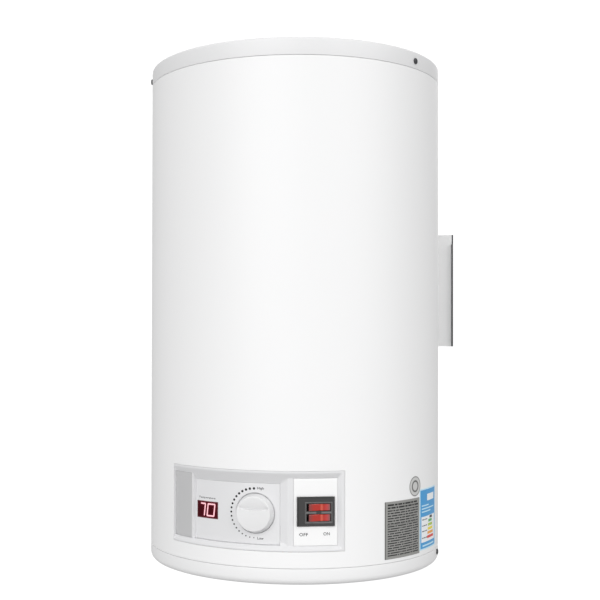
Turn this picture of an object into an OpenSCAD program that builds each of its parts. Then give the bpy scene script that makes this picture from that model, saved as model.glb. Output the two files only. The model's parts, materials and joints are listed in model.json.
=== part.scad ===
// Wall-hung electric storage water heater with a round body of about 80 litres.
// Millimetres. The origin is the centre of the wall bracket's four slots, on the wall plane.
// +Z is up, +Y goes into the wall, and the control panel faces -Y.
// Angles around the body count from the front, and grow towards +X.
// Panel heights count up from the underside of the body.

/* [Body] */
// Diameter of the painted shell
body_d = 450; // [375:5:540]
// Overall height of the body, from cap to cap
body_h = 758; // [632:2:910]
// Sheet thickness of the shell
shell_t = 0.8; // [0.5:0.1:1.2]
// Side height of the top cap
top_cap_h = 26; // [22:1:40]
// Side height of the bottom cap
bottom_cap_h = 24; // [22:1:40]
// Wall thickness of both caps
cap_t = 2; // [1.5:0.1:3]
// Edge radius of the top cap
top_edge_r = 4; // [2:0.5:6]
// Edge radius of the bottom cap
bottom_edge_r = 10; // [4:0.5:11]
// Visible gap between a cap and the shell
seam_gap = 0.7; // [0.4:0.1:1.2]
// Angle of the side screws in the top cap
top_screw_angle = 67.5; // [50:0.5:80]
// Angle of the side screws in the bottom cap
bottom_screw_angle = 91; // [85:1:100]

/* [Wall bracket] */
// Gap between the wall and the back of the shell
wall_gap = 30; // [24:1:45]
// Height of the bracket's centre above the body's middle
bracket_rise = 45; // [0:5:80]
// Width of the bracket plate
bracket_w = 428; // [400:2:460]
// Height of the bracket plate
bracket_h = 195; // [180:1:240]
// Thickness of the bracket plate
bracket_t = 2; // [1.5:0.5:3]
// Depth of the bracket's folded side edges
bracket_fold = 8; // [5:1:12]
// Distance between the left and right slots
slot_pitch_x = 320; // [300:5:340]
// Distance between the upper and lower slots
slot_pitch_z = 120; // [100:5:150]
// Width of a slot
slot_w = 11; // [9:0.5:13]
// Length of a slot, end to end
slot_len = 20; // [16:1:26]
// Distance from the centre to each support leg
leg_x = 120; // [110:2:130]
// Height of a support leg
leg_h = 150; // [130:2:160]
// Thickness of a support leg
leg_t = 2.5; // [2:0.5:4]

/* [Control panel] */
// Height of the panel frame
panel_h = 110.6; // [106:0.2:120]
// Height of the panel's lower edge above the underside
panel_up = 46.9; // [42:0.1:52]
// Depth of the trim and the switch plate below the shell's surface
trim_depth = 3.6; // [2.5:0.1:4.5]
// Depth of the main plate below the shell's surface
main_depth = 8.4; // [7:0.1:9]
// Thickness of the three panel plates
plate_t = 2.5; // [2:0.1:3]
// Gap round each panel plate
plate_gap = 0.3; // [0.2:0.05:0.6]
// Width of the end trim
trim_w = 36.5; // [30:0.5:44]
// Width of the main plate
main_w = 133.4; // [120:0.2:140]
// Width of the switch plate
switch_plate_w = 61.4; // [58:0.2:70]
// Width of the display window
window_w = 37.7; // [32:0.1:40]
// Height of the display window
window_h = 24.1; // [20:0.1:28]

/* [Dial] */
// Diameter of the temperature knob
knob_d = 54.6; // [45.5:0.1:56]
// Thickness of the knob
knob_t = 13.5; // [11:0.5:16]
// Gap between the knob and its round well
knob_gap = 1.1; // [0.6:0.1:1.4]
// Diameter of the thermostat's spindle
spindle_d = 6; // [5:0.5:8]

/* [Rocker switch] */
// Width of the switch's frame
switch_w = 52.6; // [50:0.2:54]
// Height of the switch's frame
switch_h = 40.6; // [39:0.2:46]
// Length of a rocker
rocker_len = 30.4; // [27:0.2:31]
// Height of a rocker
rocker_h = 9.4; // [8:0.1:9.6]
// Distance between the two rockers' centres
rocker_pitch = 14.4; // [14:0.1:15]
// Tilt of a rocker to each side of level
rocker_tilt = 7; // [5:0.5:8]

/* [Tank] */
// Thickness of the foam between the shell and the tank
foam_t = 25; // [21:0.5:35]
// Wall thickness of the enamelled tank
tank_t = 2; // [1.5:0.1:3]
// Rise of the tank's lower dome
dome_low = 70; // [60:1:80]
// Rise of the tank's upper dome
dome_high = 55; // [45:1:70]
// Height of the tank's lowest point above the underside
tank_up = 75; // [72:1:90]

/* [Water pipes] */
// Distance between the inlet's and the outlet's centres
pipe_pitch = 100; // [96:1:120]
// Distance from the body's axis back to the pipes
pipe_back = 105; // [100:1:125]
// Outer diameter of the pipe thread
pipe_d = 20.95; // [20.95:0.1:26.5]
// Bore of the pipes
pipe_bore = 16; // [14:0.5:17]
// Length of pipe below the body
pipe_drop = 25; // [18:1:30]

/* [Flange and heating] */
// Diameter of the flange
flange_d = 132; // [128:1:138]
// Clear opening of the tank's neck
neck_d = 90; // [88:1:94]
// Pitch circle of the flange studs
stud_pcd = 110; // [108:1:114]
// Diameter of a flange stud
stud_d = 8; // [6:1:9]
// Diameter of a heating element's tube
element_d = 8.2; // [7:0.1:10]
// Length of the longer heating element
element_len = 300; // [240:5:380]
// Diameter of the anode rod
anode_d = 22; // [16:1:26]
// Length of the anode rod
anode_len = 350; // [250:5:400]

/* [Underside] */
// Diameter of the service cover
service_d = 164; // [160:1:168]
// Hole through the cable gland
gland_bore = 9.2; // [7:0.1:10]
// Outer diameter of the gland's thread
gland_d = 16; // [15:0.5:18]
// Diameter of the reset button
reset_d = 8; // [6:0.5:10]
// Travel of the reset button
reset_travel = 1.8; // [1:0.1:2.5]

/* [Labels] */
// Width of the rating label
rating_w = 76.6; // [60:0.2:78]
// Height of the rating label
rating_h = 81; // [60:0.5:82]
// Width of the efficiency label
efficiency_w = 61; // [50:0.5:64]
// Height of the efficiency label
efficiency_h = 89; // [70:0.5:96]
// Diameter of the round seal
seal_d = 29.5; // [20:0.5:30]

/* [Hidden] */
$fn = 96;

body_r = body_d / 2;
axis_y = -(wall_gap + body_r);
bottom_z = -body_h / 2 - bracket_rise;
top_z = bottom_z + body_h;
low_seam_z = bottom_z + bottom_cap_h;
high_seam_z = top_z - top_cap_h;
cut = 1;              // how far a cutting shape runs past the face it cuts
lip_h = 14;           // height of the shell's stepped lip inside each cap
lip_gap = 0.3;        // gap between the lip and the cap's wall
lip_r = body_r - cap_t - lip_gap;
edge_steps = 8;

// Control panel, as radii from the body's axis and as angles.
panel_z = bottom_z + panel_up;
panel_proud = 0.3;
face_r = body_r + panel_proud;
trim_r = body_r - trim_depth;
main_r = body_r - main_depth;
ledge_t = 3;
step = 0.2;           // narrow floor left round a plate's pocket
frame_r = main_r - plate_t - ledge_t;
bevel_slope = 1.72;   // rise of the recess's upper bevel for each millimetre of depth
sill_slope = 1.13;    // the same for its lower bevel
upper_rim = 3.0;
lower_rim = 2.9;
left_rim = 1.2;
right_margin = 9.4;     // switch plate's edge to the frame's end, bevel and rim together
right_bevel = 8.4;
rib_w = 3.8;
mullion_w = 19.5;     // main plate's edge to the switch plate's edge, slope and flat together
mullion_slope = 11.5; // part of the mullion that slopes down to the main plate
panel_half = (arc(left_rim + right_margin, body_r) + arc(trim_w + rib_w + mullion_w + switch_plate_w, trim_r)
    + arc(main_w, main_r)) / 2;
trim_a0 = -panel_half + arc(left_rim, body_r);
trim_a1 = trim_a0 + arc(trim_w, trim_r);
main_a0 = trim_a1 + arc(rib_w, trim_r);
main_a1 = main_a0 + arc(main_w, main_r);
switch_a0 = main_a1 + arc(mullion_w, trim_r);
switch_a1 = switch_a0 + arc(switch_plate_w, trim_r);
recess_top = panel_z + panel_h - upper_rim;
recess_low = panel_z + lower_rim + sill_slope * trim_depth;
trim_top = recess_top - bevel_slope * (face_r - trim_r);
plate_low = recess_low + 2 * step + plate_gap;
main_top = recess_top - bevel_slope * (face_r - main_r);

// Dial, along its own radial line.
knob_r = knob_d / 2;
knob_a = main_a1 - arc(35.3, main_r);
knob_z = (recess_low + main_top) / 2 + 0.7;
well_r = knob_r + knob_gap;
well_floor = main_r - 3;
knob_back = well_floor + 0.5;
boss_t = 3;
boss_r = well_r + 2.6;
spindle_r = spindle_d / 2;
running_gap = 0.05;
thermostat_w = 38;
thermostat_h = 30;
thermostat_t = 19;
thermostat_face = well_floor - boss_t - 0.05;

// Display.
window_a = main_a0 + arc(3 + window_w / 2, main_r);
window_z = (recess_low + main_top) / 2;
led_w = 35;
led_h = 21.5;
led_t = 7;
led_face = main_r - plate_t - 1.6;
board_w = 44;
board_h = 36;
board_t = 1.6;
post_spots = [[-15.4, 15.2], [-15.4, -15.2], [19, 15.2], [19, -15.2]];

// Rocker switch, in a flat frame of its own: X along the panel, Y up, Z outwards.
switch_a = (switch_a0 + switch_a1) / 2;
switch_z = (recess_low + trim_top) / 2 + 0.9;
pad_depth = 1.6;
switch_seat = trim_r - pad_depth;
switch_rise = 5.2;
switch_chamfer = 2.6;
body_w = 46;
body_tall = 36;
switch_deep = 22;
rocker_shift = 3.4;
rocker_drop = -0.9;
pivot_z = -3;
pivot_r = 1.5;
pivot_len = 1.2;
rocker_gap = 0.35;
well_half = rocker_len / 2 + 1.4;
cavity_floor = -12;
rocker_mid = 7.7;      // height of a level rocker's middle above its pivot
terminal_len = 9;
terminal_spots = [for (x = [-11, 0, 11], y = [-1, 1]) [x + 1, y * rocker_pitch / 2 + rocker_drop]];

// Tank.
tank_r = body_r - foam_t;
tank_low = bottom_z + tank_up;
tank_high = top_z - 26;
dome_steps = 14;
neck_r = neck_d / 2;
neck_low = tank_low - 8;
neck_high = tank_low + 5;
flange_r = flange_d / 2;
gasket_t = 3;
flange_t = 4;
gasket_low = neck_low - gasket_t;
flange_low = gasket_low - flange_t;
stud_r = stud_d / 2;
stud_gap = 0.4;
nut_t = 6.5;
stud_count = 6;
element_r = element_d / 2;
element_half = 14;     // half the distance between an element's legs
element_y = 22;
short_share = 220 / 300;
sleeve_r = 5;
sleeve_bore = 3.6;
sleeve_len = 270;
sleeve_x = 33;
fit_gap = 0.1;

// Pipes.
pipe_r = pipe_d / 2;
pipe_x = pipe_pitch / 2;
collar_r = 18;
collar_drop = 3;
collar_neck_t = 2.3;
thread_len = 20;
plain_pipe_r = pipe_r - 0.5;
pipe_top = dome_z(norm([pipe_x, pipe_back])) + 14;
outlet_r = pipe_bore / 2 - 0.1;

// Bottom service bay, the space under the tank that foam leaves free.
bay_r = 84;
bay_top = tank_low + 4;
bay_front_w = 170;
bay_front_reach = body_r - 30;
bay_front_h = panel_up + 3;
service_r = service_d / 2;
service_t = 2;
service_ledge = 9;
reset_at = [46, -112];
block_at = [-44, -112];
cutout_size = [34, 26, 20];
block_size = [50, 24, 18];
reset_r = reset_d / 2;
reset_hole = reset_r + 0.7;
reset_flange_r = reset_r + 1.6;
gland_at = [-112, 30];
gland_r = gland_d / 2;
gland_drop = 9;
gland_rise = 20;

// Bracket and legs.
bracket_corner = 17;
leg_foot = 30;
leg_bolt_x = leg_x - 16;
leg_bolt_z = 45;
leg_hole_r = 4.3;
bolt_r = 4;
slot_spots = [for (x = [-1, 1], z = [-1, 1]) [x * slot_pitch_x / 2, z * slot_pitch_z / 2]];
leg_bolts = [for (x = [-1, 1], z = [-1, 1]) [x * leg_bolt_x, z * leg_bolt_z]];

// Labels.
label_t = 0.25;
label_lift = 0.03;
rating_a = 60.8;
efficiency_a = rating_a + arc(rating_w / 2 + 1.2 + efficiency_w / 2, body_r);
rating_low = low_seam_z + 4.8;
seal_a = rating_a + arc(26.7, body_r);
seal_up = rating_h + 17;

// Wires, with routes as points chosen by hand, counted from the body's axis and underside.
// Points near the panel count back from the shell's front.
wire_r = 1.3;
wire_sides = 8;
front = -body_r;
block_wire_route = [[-29, -112, 20.2], [-29, -106, 29], [-30, -80, 33], [-26, -55, 35], [-20, -36, 37],
    [-14, -22, 38.6]];
cutout_wire_route = [[40, -112, 22.2], [40, -106, 30], [36, -78, 33], [30, -52, 35], [20, -34, 37],
    [14, -22, 38.6]];
switch_wire_route = [[-44, -112, 20.4], [-43, -120, 30], [-30, -138, 34], [0, front + 69, 40],
    [50, front + 65, 62], [70, front + 65, 84], [78, front + 57, 98]];
display_route = [[-59, -112, 20.2], [-60, -122, 30], [-62, front + 75, 35], [-62, front + 53, 50],
    [-61.5, front + 43, 76], [-61.4, front + 36.4, 90], [-63.1, front + 31.2, 90]];
capillary_route = [[33, 0, 56], [33, -6, 40], [38, -30, 28], [44, -60, 24], [30, front + 75, 30],
    [18, front + 57, 52], [12, front + 45, 76], [12, front + 34.7, 90]];

function arc(length, r) = length / r * 180 / PI;
function polar(r, a) = [r * sin(a), -r * cos(a)];
// Height of the lower dome's outer surface at a distance from the axis.
function dome_z(d) = tank_low + dome_low * (1 - sqrt(1 - pow(d / tank_r, 2)));
// Points of the tank's outline for a wall set in by an inset, from the lower pole to the upper one.
function tank_outline(inset) = let(r = tank_r - inset) concat(
    [for (i = [0:dome_steps]) let(t = 90 * i / dome_steps)
        [r * sin(t), tank_low + inset + (dome_low - inset) * (1 - cos(t))]],
    [for (i = [0:dome_steps]) let(t = 90 * i / dome_steps)
        [r * cos(t), tank_high - dome_high + (dome_high - inset) * sin(t)]]);
// Points of a rounded edge from straight down to straight out, for a cap's profile.
function edge_arc(cx, cz, r, a0, a1) =
    [for (i = [0:edge_steps]) let(a = a0 + (a1 - a0) * i / edge_steps) [cx + r * cos(a), cz + r * sin(a)]];

// A full turn of a profile of radius and height about the body's axis.
module turned() { translate([0, axis_y, 0]) rotate_extrude($fn = 180) children(); }

// The same profile between two angles.
module turned_part(a0, a1) {
    translate([0, axis_y, 0]) rotate([0, 0, a0 - 90]) rotate_extrude(angle = a1 - a0, $fn = 180) children();
}

// A band between two radii and two heights, over a range of angles.
module band(a0, a1, r0, r1, z0, z1) {
    turned_part(a0, a1) translate([r0, z0]) square([r1 - r0, z1 - z0]);
}

// Local frame on a radial line: X along the body, Y up, Z outwards.
module radial(a, z, d) {
    translate([0, axis_y, z]) rotate([0, 0, a]) translate([0, -d, 0]) rotate([90, 0, 0]) children();
}

// Frame on the body's axis, with heights counted from the underside.
module on_axis() { translate([0, axis_y, bottom_z]) children(); }

module disc(r, z0, z1) { translate([0, 0, z0]) cylinder(r = r, h = z1 - z0); }
module ring(r_out, r_in, z0, z1) {
    difference() {
        disc(r_out, z0, z1);
        disc(r_in, z0 - cut, z1 + cut);
    }
}
module block(size, z0) { translate([-size[0] / 2, -size[1] / 2, z0]) cube(size); }
module hex_nut(across, hole_r, h) {
    difference() {
        cylinder(d = across / cos(30), h = h, $fn = 6);
        disc(hole_r, -cut, h + cut);
    }
}
// A pan-head screw along +Z, with the head's seat at zero.
module pan_screw(head_r, head_h, shank_r, shank_len) {
    difference() {
        union() {
            disc(head_r, 0, head_h);
            disc(shank_r, -shank_len, 0);
        }
        for (turn = [0, 90]) rotate([0, 0, turn])
            translate([-head_r * 0.6, -0.4, head_h * 0.45]) cube([head_r * 1.2, 0.8, head_h]);
    }
}
// A round tube swept along points, with flat ends.
module swept(points, r) {
    last = len(points) - 1;
    rings = [for (i = [0:last])
        let(ahead = points[min(i + 1, last)] - points[max(i - 1, 0)],
            w = ahead / norm(ahead),
            side = cross(w, abs(w[2]) > 0.9 ? [1, 0, 0] : [0, 0, 1]),
            u = side / norm(side),
            v = cross(w, u))
        for (k = [0:wire_sides - 1])
            points[i] + r * (u * cos(360 * k / wire_sides) + v * sin(360 * k / wire_sides))];
    n = wire_sides;
    sides = [for (i = [0:last - 1], k = [0:n - 1])
        [i * n + k, (i + 1) * n + k, (i + 1) * n + (k + 1) % n, i * n + (k + 1) % n]];
    polyhedron(rings, concat([[for (k = [0:n - 1]) k]], sides, [[for (k = [n - 1:-1:0]) last * n + k]]));
}

module outer_shell() {
    color("white") difference() {
        turned() polygon([[body_r, low_seam_z], [body_r, high_seam_z], [lip_r, high_seam_z],
            [lip_r, high_seam_z + lip_h], [lip_r - shell_t, high_seam_z + lip_h],
            [lip_r - shell_t, high_seam_z - shell_t], [body_r - shell_t, high_seam_z - shell_t],
            [body_r - shell_t, low_seam_z + shell_t], [lip_r - shell_t, low_seam_z + shell_t],
            [lip_r - shell_t, low_seam_z - lip_h], [lip_r, low_seam_z - lip_h], [lip_r, low_seam_z]]);
        band(-panel_half - arc(plate_gap, body_r), panel_half + arc(plate_gap, body_r),
            body_r - 5, body_r + 5, panel_z - plate_gap, panel_z + panel_h + plate_gap);
        leg_slots(0.4);
        cap_screw_holes(1.95);
    }
}
module leg_slots(gap) {
    for (side = [-1, 1]) translate([side * (leg_x - leg_t / 2), -wall_gap - body_r / 2, 0])
        cube([leg_t + 2 * gap, body_r, leg_h + 2 * gap], center = true);
}
function top_screw_spots() = [for (a = [-top_screw_angle, top_screw_angle, 180])
    [a, (high_seam_z + seam_gap + top_z - top_edge_r) / 2]];
function bottom_screw_spots() = [for (a = [-bottom_screw_angle, bottom_screw_angle, 180])
    [a, (low_seam_z - seam_gap + bottom_z + bottom_edge_r) / 2]];
module cap_screw_holes(r) {
    for (spot = concat(top_screw_spots(), bottom_screw_spots()))
        radial(spot[0], spot[1], body_r - 8) cylinder(r = r, h = 12);
}
module top_cap() {
    color("whitesmoke") difference() {
        turned() polygon(concat([[0, top_z]], [[0, top_z - cap_t], [body_r - cap_t, top_z - cap_t],
            [body_r - cap_t, high_seam_z + seam_gap], [body_r, high_seam_z + seam_gap]],
            edge_arc(body_r - top_edge_r, top_z - top_edge_r, top_edge_r, 0, 90)));
        cap_screw_holes(2.3);
    }
}
module bottom_cap() {
    inner_edge = bottom_edge_r - cap_t;
    color("whitesmoke") difference() {
        turned() polygon(concat(
            [[service_r - service_ledge, bottom_z + service_t + 0.4],
             [service_r + fit_gap, bottom_z + service_t + 0.4], [service_r + fit_gap, bottom_z]],
            edge_arc(body_r - bottom_edge_r, bottom_z + bottom_edge_r, bottom_edge_r, -90, 0),
            [[body_r, low_seam_z - seam_gap], [body_r - cap_t, low_seam_z - seam_gap]],
            edge_arc(body_r - bottom_edge_r, bottom_z + bottom_edge_r, inner_edge, 0, -90),
            [[service_r + cap_t, bottom_z + cap_t], [service_r + cap_t, bottom_z + service_t + 0.4 + cap_t],
             [service_r - service_ledge, bottom_z + service_t + 0.4 + cap_t]]));
        cap_screw_holes(2.3);
        on_axis() {
            for (side = [-1, 1]) translate([side * pipe_x, pipe_back, 0])
                disc(pipe_r + collar_neck_t + 0.2, -cut, cap_t + cut);
            translate([gland_at[0], gland_at[1], 0]) disc(gland_r + fit_gap, -cut, cap_t + cut);
            translate([reset_at[0], reset_at[1], 0]) disc(reset_hole, -cut, cap_t + cut);
            service_screw_spots() disc(1.7, 0, cap_t * 3);
        }
    }
}
module service_screw_spots() {
    for (a = [45:90:315]) rotate([0, 0, a]) translate([service_r - 4.6, 0, 0]) children();
}
module top_cap_screws() {
    color("dimgray") for (spot = top_screw_spots()) radial(spot[0], spot[1], body_r + 0.05)
        pan_screw(4.3, 2.4, 1.9, 7);
}
module bottom_cap_screws() {
    color("dimgray") for (spot = bottom_screw_spots()) radial(spot[0], spot[1], body_r + 0.05)
        pan_screw(4.3, 2.4, 1.9, 7);
}

// Top view of a recess: its two side walls as lists of radius and angle, from the floor outwards.
module recess_plan(left_wall, right_wall) {
    over = body_r * 1.5;
    back = frame_r - 40;
    n = len(right_wall) - 1;
    translate([0, axis_y, panel_z - 5]) linear_extrude(height = panel_h + 15) polygon(concat(
        [polar(back, left_wall[0][1])], [for (w = left_wall) polar(w[0], w[1])],
        [polar(over, (left_wall[0][1] + right_wall[0][1]) / 2)],
        [for (i = [n:-1:0]) polar(right_wall[i][0], right_wall[i][1])], [polar(back, right_wall[0][1])]));
}
// A recess with a bevelled top, a sill and sides as in its plan, down to a floor at one radius.
module recess(floor_r, low_z, sill, left_wall, right_wall) {
    over = 3;
    intersection() {
        turned_part(-panel_half - 5, panel_half + 5) polygon([[floor_r, low_z],
            [floor_r, recess_top - bevel_slope * (face_r - floor_r)],
            [face_r + over, recess_top + bevel_slope * over],
            [face_r + over, low_z - sill * (face_r + over - floor_r)]]);
        recess_plan(left_wall, right_wall);
    }
}
// A pocket that holds one plate, and the opening behind it that leaves a ledge.
module plate_pocket(a0, a1, r, top_z, side_inset, height_inset) {
    gap = arc(plate_gap, r);
    inset = arc(side_inset, r);
    band(a0 - gap, a1 + gap, r - plate_t - fit_gap, r + 0.5, recess_low + 2 * step, top_z - step);
    if (side_inset > 0)
        band(a0 + inset, a1 - inset, frame_r - 5, r, recess_low + height_inset, top_z - height_inset);
}
module panel_frame() {
    outer = face_r + 3;
    left = trim_a0 - arc(plate_gap + step, trim_r);
    right = switch_a1 + arc(plate_gap + step, trim_r);
    slope_end = main_a1 + arc(mullion_slope, trim_r);
    main_left = main_a0 - arc(plate_gap + step, main_r);
    main_right = main_a1 + arc(plate_gap + step, main_r);
    color("gainsboro") difference() {
        union() {
            band(-panel_half, panel_half, frame_r, face_r, panel_z, panel_z + panel_h);
            band(-panel_half - arc(5, body_r), panel_half + arc(5, body_r),
                body_r - shell_t - 2.3, body_r - shell_t - 0.2, panel_z - 5, panel_z + panel_h + 5);
        }
        // Recess down to the trim's depth.
        recess(trim_r, recess_low, sill_slope, [[trim_r, left], [outer, left]],
            [[trim_r, right], [outer, right + arc(right_bevel, body_r)]]);
        // Deeper recess for the main plate, with a steep left wall and a sloping right one.
        recess(main_r, recess_low + step, 0.02, [[main_r, main_left], [outer, main_left - arc(2.6, trim_r)]],
            [[main_r, main_right], [trim_r, slope_end], [outer, slope_end + arc(14, trim_r)]]);
        plate_pocket(trim_a0, trim_a1, trim_r, trim_top, 0, 0);
        plate_pocket(main_a0, main_a1, main_r, main_top, 2, 2);
        plate_pocket(switch_a0, switch_a1, trim_r, trim_top, 2, 4);
    }
}
module end_trim() {
    color("silver") band(trim_a0, trim_a1, trim_r - plate_t, trim_r, plate_low,
        trim_top - step - plate_gap);
}
module main_plate() {
    color("gainsboro") difference() {
        union() {
            band(main_a0, main_a1, main_r - plate_t, main_r, plate_low, main_top - step - plate_gap);
            radial(knob_a, knob_z, well_floor - boss_t) cylinder(r = boss_r, h = boss_t + 0.6);
            for (p = post_spots) radial(window_a, window_z, led_face - led_t) translate([p[0], p[1], 0])
                cylinder(r = 1.8, h = main_r - 1.6 - led_face + led_t, $fn = 32);
        }
        radial(knob_a, knob_z, well_floor) cylinder(r = well_r, h = 10);
        radial(knob_a, knob_z, well_floor - boss_t - cut) cylinder(r = 5.3, h = 10);
        band(window_a - arc(window_w / 2 + fit_gap, main_r), window_a + arc(window_w / 2 + fit_gap, main_r),
            main_r - plate_t - cut, main_r + cut, window_z - window_h / 2 - fit_gap,
            window_z + window_h / 2 + fit_gap);
    }
}
module switch_plate() {
    color("white") difference() {
        band(switch_a0, switch_a1, trim_r - plate_t, trim_r, plate_low, trim_top - step - plate_gap);
        radial(switch_a, switch_z, switch_seat) {
            translate([0, 0, 5]) cube([switch_w + 0.4, switch_h + 0.4, 10], center = true);
            cube([body_w + 0.4, body_tall + 0.4, 20], center = true);
        }
    }
}
module display_window() {
    color("darkred", 0.5) band(window_a - arc(window_w / 2, main_r), window_a + arc(window_w / 2, main_r),
        main_r - plate_t, main_r + 0.1, window_z - window_h / 2, window_z + window_h / 2);
}
module led_display() {
    color("maroon") radial(window_a, window_z, led_face - led_t) block([led_w - 8, led_h, led_t], 0);
}
module display_board() {
    color("darkgreen") radial(window_a, window_z, led_face - led_t - board_t)
        block([board_w, board_h, board_t], 0);
}

module temperature_knob() {
    side_r = 90;
    waist = knob_r * 0.23;
    scoop_t = 4.2;
    side_h = 4;
    face_r = knob_r - 2.4;
    color("white") radial(knob_a, knob_z, knob_back) difference() {
        union() {
            disc(knob_r, 0, side_h);
            translate([0, 0, side_h]) cylinder(r1 = knob_r, r2 = face_r, h = knob_t - 1.2 - side_h);
            translate([0, 0, knob_t - 1.2]) cylinder(r1 = face_r, r2 = face_r - 1.2, h = 1.2);
        }
        // One scoop for the thumb, on the side that points at the scale's high end.
        translate([0, side_r + waist, knob_t - scoop_t]) intersection() {
            cylinder(r = side_r, h = 10);
            translate([0, -side_r, 0]) cylinder(r = knob_r * 1.02, h = 10);
        }
        disc(spindle_r + fit_gap, -cut, knob_t - 4);
        ring(knob_r - 3, spindle_r + 4, -cut, knob_t - 7.2);
    }
}
module thermostat_spindle() {
    back = thermostat_face - thermostat_t + 5;
    color("silver") radial(knob_a, knob_z, back) cylinder(r = spindle_r, h = knob_back + knob_t - 4.5 - back);
}
module thermostat_body() {
    color("dimgray") radial(knob_a, knob_z, thermostat_face) difference() {
        union() {
            block([thermostat_w, thermostat_h, thermostat_t], -thermostat_t);
            disc(5, -cut, boss_t);
            for (x = [-9, 9]) translate([x, -8, -thermostat_t - 7]) block([0.8, 6.3, 8], 0);
        }
        disc(spindle_r + running_gap, -thermostat_t + 5, boss_t + cut);
    }
}
module thermostat_bulb() {
    color("goldenrod") translate([sleeve_x, axis_y, flange_low - 4]) cylinder(r = 3, h = 130);
}
module capillary_tube() {
    color("goldenrod") on_axis() swept(capillary_route, wire_r * 0.7);
}

// Placed with its rear face on the switch plate's flat seat.
module switch_place() { radial(switch_a, switch_z, switch_seat + 0.05) children(); }
module rocker_place(side) {
    switch_place() translate([rocker_shift, rocker_drop + side * rocker_pitch / 2, pivot_z]) children();
}
// A prism whose upper edges are cut back on all four sides.
function cut_profile(w, t, c) = [[-w, 0], [w, 0], [w, t - c], [w - c, t], [c - w, t], [-w, t - c]];
module chamfered(w, h, t, c) {
    intersection() {
        rotate([90, 0, 0]) linear_extrude(height = h, center = true) polygon(cut_profile(w / 2, t, c));
        rotate([90, 0, 90]) linear_extrude(height = w, center = true) polygon(cut_profile(h / 2, t, c));
    }
}
module switch_housing() {
    half_y = rocker_h / 2 + rocker_gap;
    color([0.13, 0.13, 0.13]) switch_place() difference() {
        union() {
            chamfered(switch_w, switch_h, switch_rise, switch_chamfer);
            block([body_w, body_tall, switch_deep + cut], -switch_deep);
        }
        for (side = [-1, 1]) translate([rocker_shift, rocker_drop + side * rocker_pitch / 2, 0]) {
            block([2 * well_half, 2 * half_y, 20], cavity_floor);
            translate([0, 0, pivot_z]) rotate([90, 0, 0])
                cylinder(r = pivot_r + running_gap, h = 2 * (half_y + pivot_len), center = true);
        }
    }
}
// A rocker's side outline about its pivot, with a shallow V on top.
module rocker() {
    half = rocker_len / 2;
    end_z = rocker_mid + half * tan(rocker_tilt);
    rotate([0, rocker_tilt, 0]) {
        rotate([90, 0, 0]) linear_extrude(height = rocker_h, center = true)
            polygon([[-half, end_z], [-half, end_z - 3], [-11, -1], [-5, -6], [5, -6], [11, -1],
                [half, end_z - 3], [half, end_z], [0, rocker_mid]]);
        rotate([90, 0, 0])
            cylinder(r = pivot_r, h = rocker_h + 2 * (rocker_gap + pivot_len - 0.2), center = true);
    }
}
module rocker_upper() { color("red") rocker_place(1) rocker(); }
module rocker_lower() { color("red") rocker_place(-1) rocker(); }
module switch_terminals() {
    color("silver") switch_place() for (p = terminal_spots)
        translate([p[0], p[1], -switch_deep - terminal_len]) block([0.8, 6.3, terminal_len], 0);
}

module rating_label() {
    half = arc(rating_w / 2, body_r);
    color("darkgray") band(rating_a - half, rating_a + half, body_r + label_lift,
        body_r + label_lift + label_t, rating_low, rating_low + rating_h);
}
module efficiency_label() {
    half = arc(efficiency_w / 2, body_r);
    color("steelblue") band(efficiency_a - half, efficiency_a + half, body_r + label_lift,
        body_r + label_lift + label_t, rating_low + 2.5, rating_low + 2.5 + efficiency_h);
}
module seal_sticker() {
    color("lightgray") intersection() {
        band(seal_a - 8, seal_a + 8, body_r + label_lift, body_r + label_lift + label_t,
            rating_low + seal_up - seal_d, rating_low + seal_up + seal_d);
        radial(seal_a, rating_low + seal_up, body_r - 10) cylinder(r = seal_d / 2, h = 20);
    }
}

module wall_bracket() {
    half_w = bracket_w / 2;
    half_h = bracket_h / 2;
    color("white") difference() {
        union() {
            translate([-half_w, -bracket_t, -half_h]) cube([bracket_w, bracket_t, bracket_h]);
            for (x = [-half_w, half_w - bracket_t]) translate([x, -bracket_fold, -half_h])
                cube([bracket_t, bracket_fold, bracket_h - bracket_corner]);
        }
        for (spot = slot_spots) translate([spot[0], cut, spot[1]]) rotate([90, 0, 0]) {
            for (side = [-1, 1]) translate([side * (slot_len - slot_w) / 2, 0, 0])
                cylinder(d = slot_w, h = bracket_t + 2 * cut);
            translate([-(slot_len - slot_w) / 2, -slot_w / 2, 0])
                cube([slot_len - slot_w, slot_w, bracket_t + 2 * cut]);
        }
        for (spot = leg_bolts) translate([spot[0], 0, spot[1]]) rotate([90, 0, 0]) {
            translate([0, 0, -cut]) cylinder(r = leg_hole_r, h = bracket_t + 2 * cut);
            cylinder(r1 = 6.6, r2 = leg_hole_r, h = bracket_t);
        }
    }
}
module support_legs() {
    color("whitesmoke") difference() {
        for (side = [-1, 1]) {
            translate([side * (leg_x - leg_t / 2) - leg_t / 2, axis_y, -leg_h / 2])
                cube([leg_t, -axis_y - bracket_t, leg_h]);
            translate([side * (leg_x - leg_foot / 2) - leg_foot / 2, -bracket_t - leg_t, -leg_h / 2])
                cube([leg_foot, leg_t, leg_h]);
        }
        translate([0, axis_y, -leg_h]) cylinder(r = tank_r, h = 2 * leg_h, $fn = 180);
        for (spot = leg_bolts) translate([spot[0], cut, spot[1]]) rotate([90, 0, 0])
            cylinder(r = leg_hole_r, h = 10);
    }
}
module bracket_screws() {
    color("silver") for (spot = leg_bolts) translate([spot[0], -0.1, spot[1]]) rotate([90, 0, 0]) {
        cylinder(r1 = 6.3, r2 = bolt_r, h = bracket_t - 0.2);
        cylinder(r = bolt_r, h = 16);
    }
}
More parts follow.
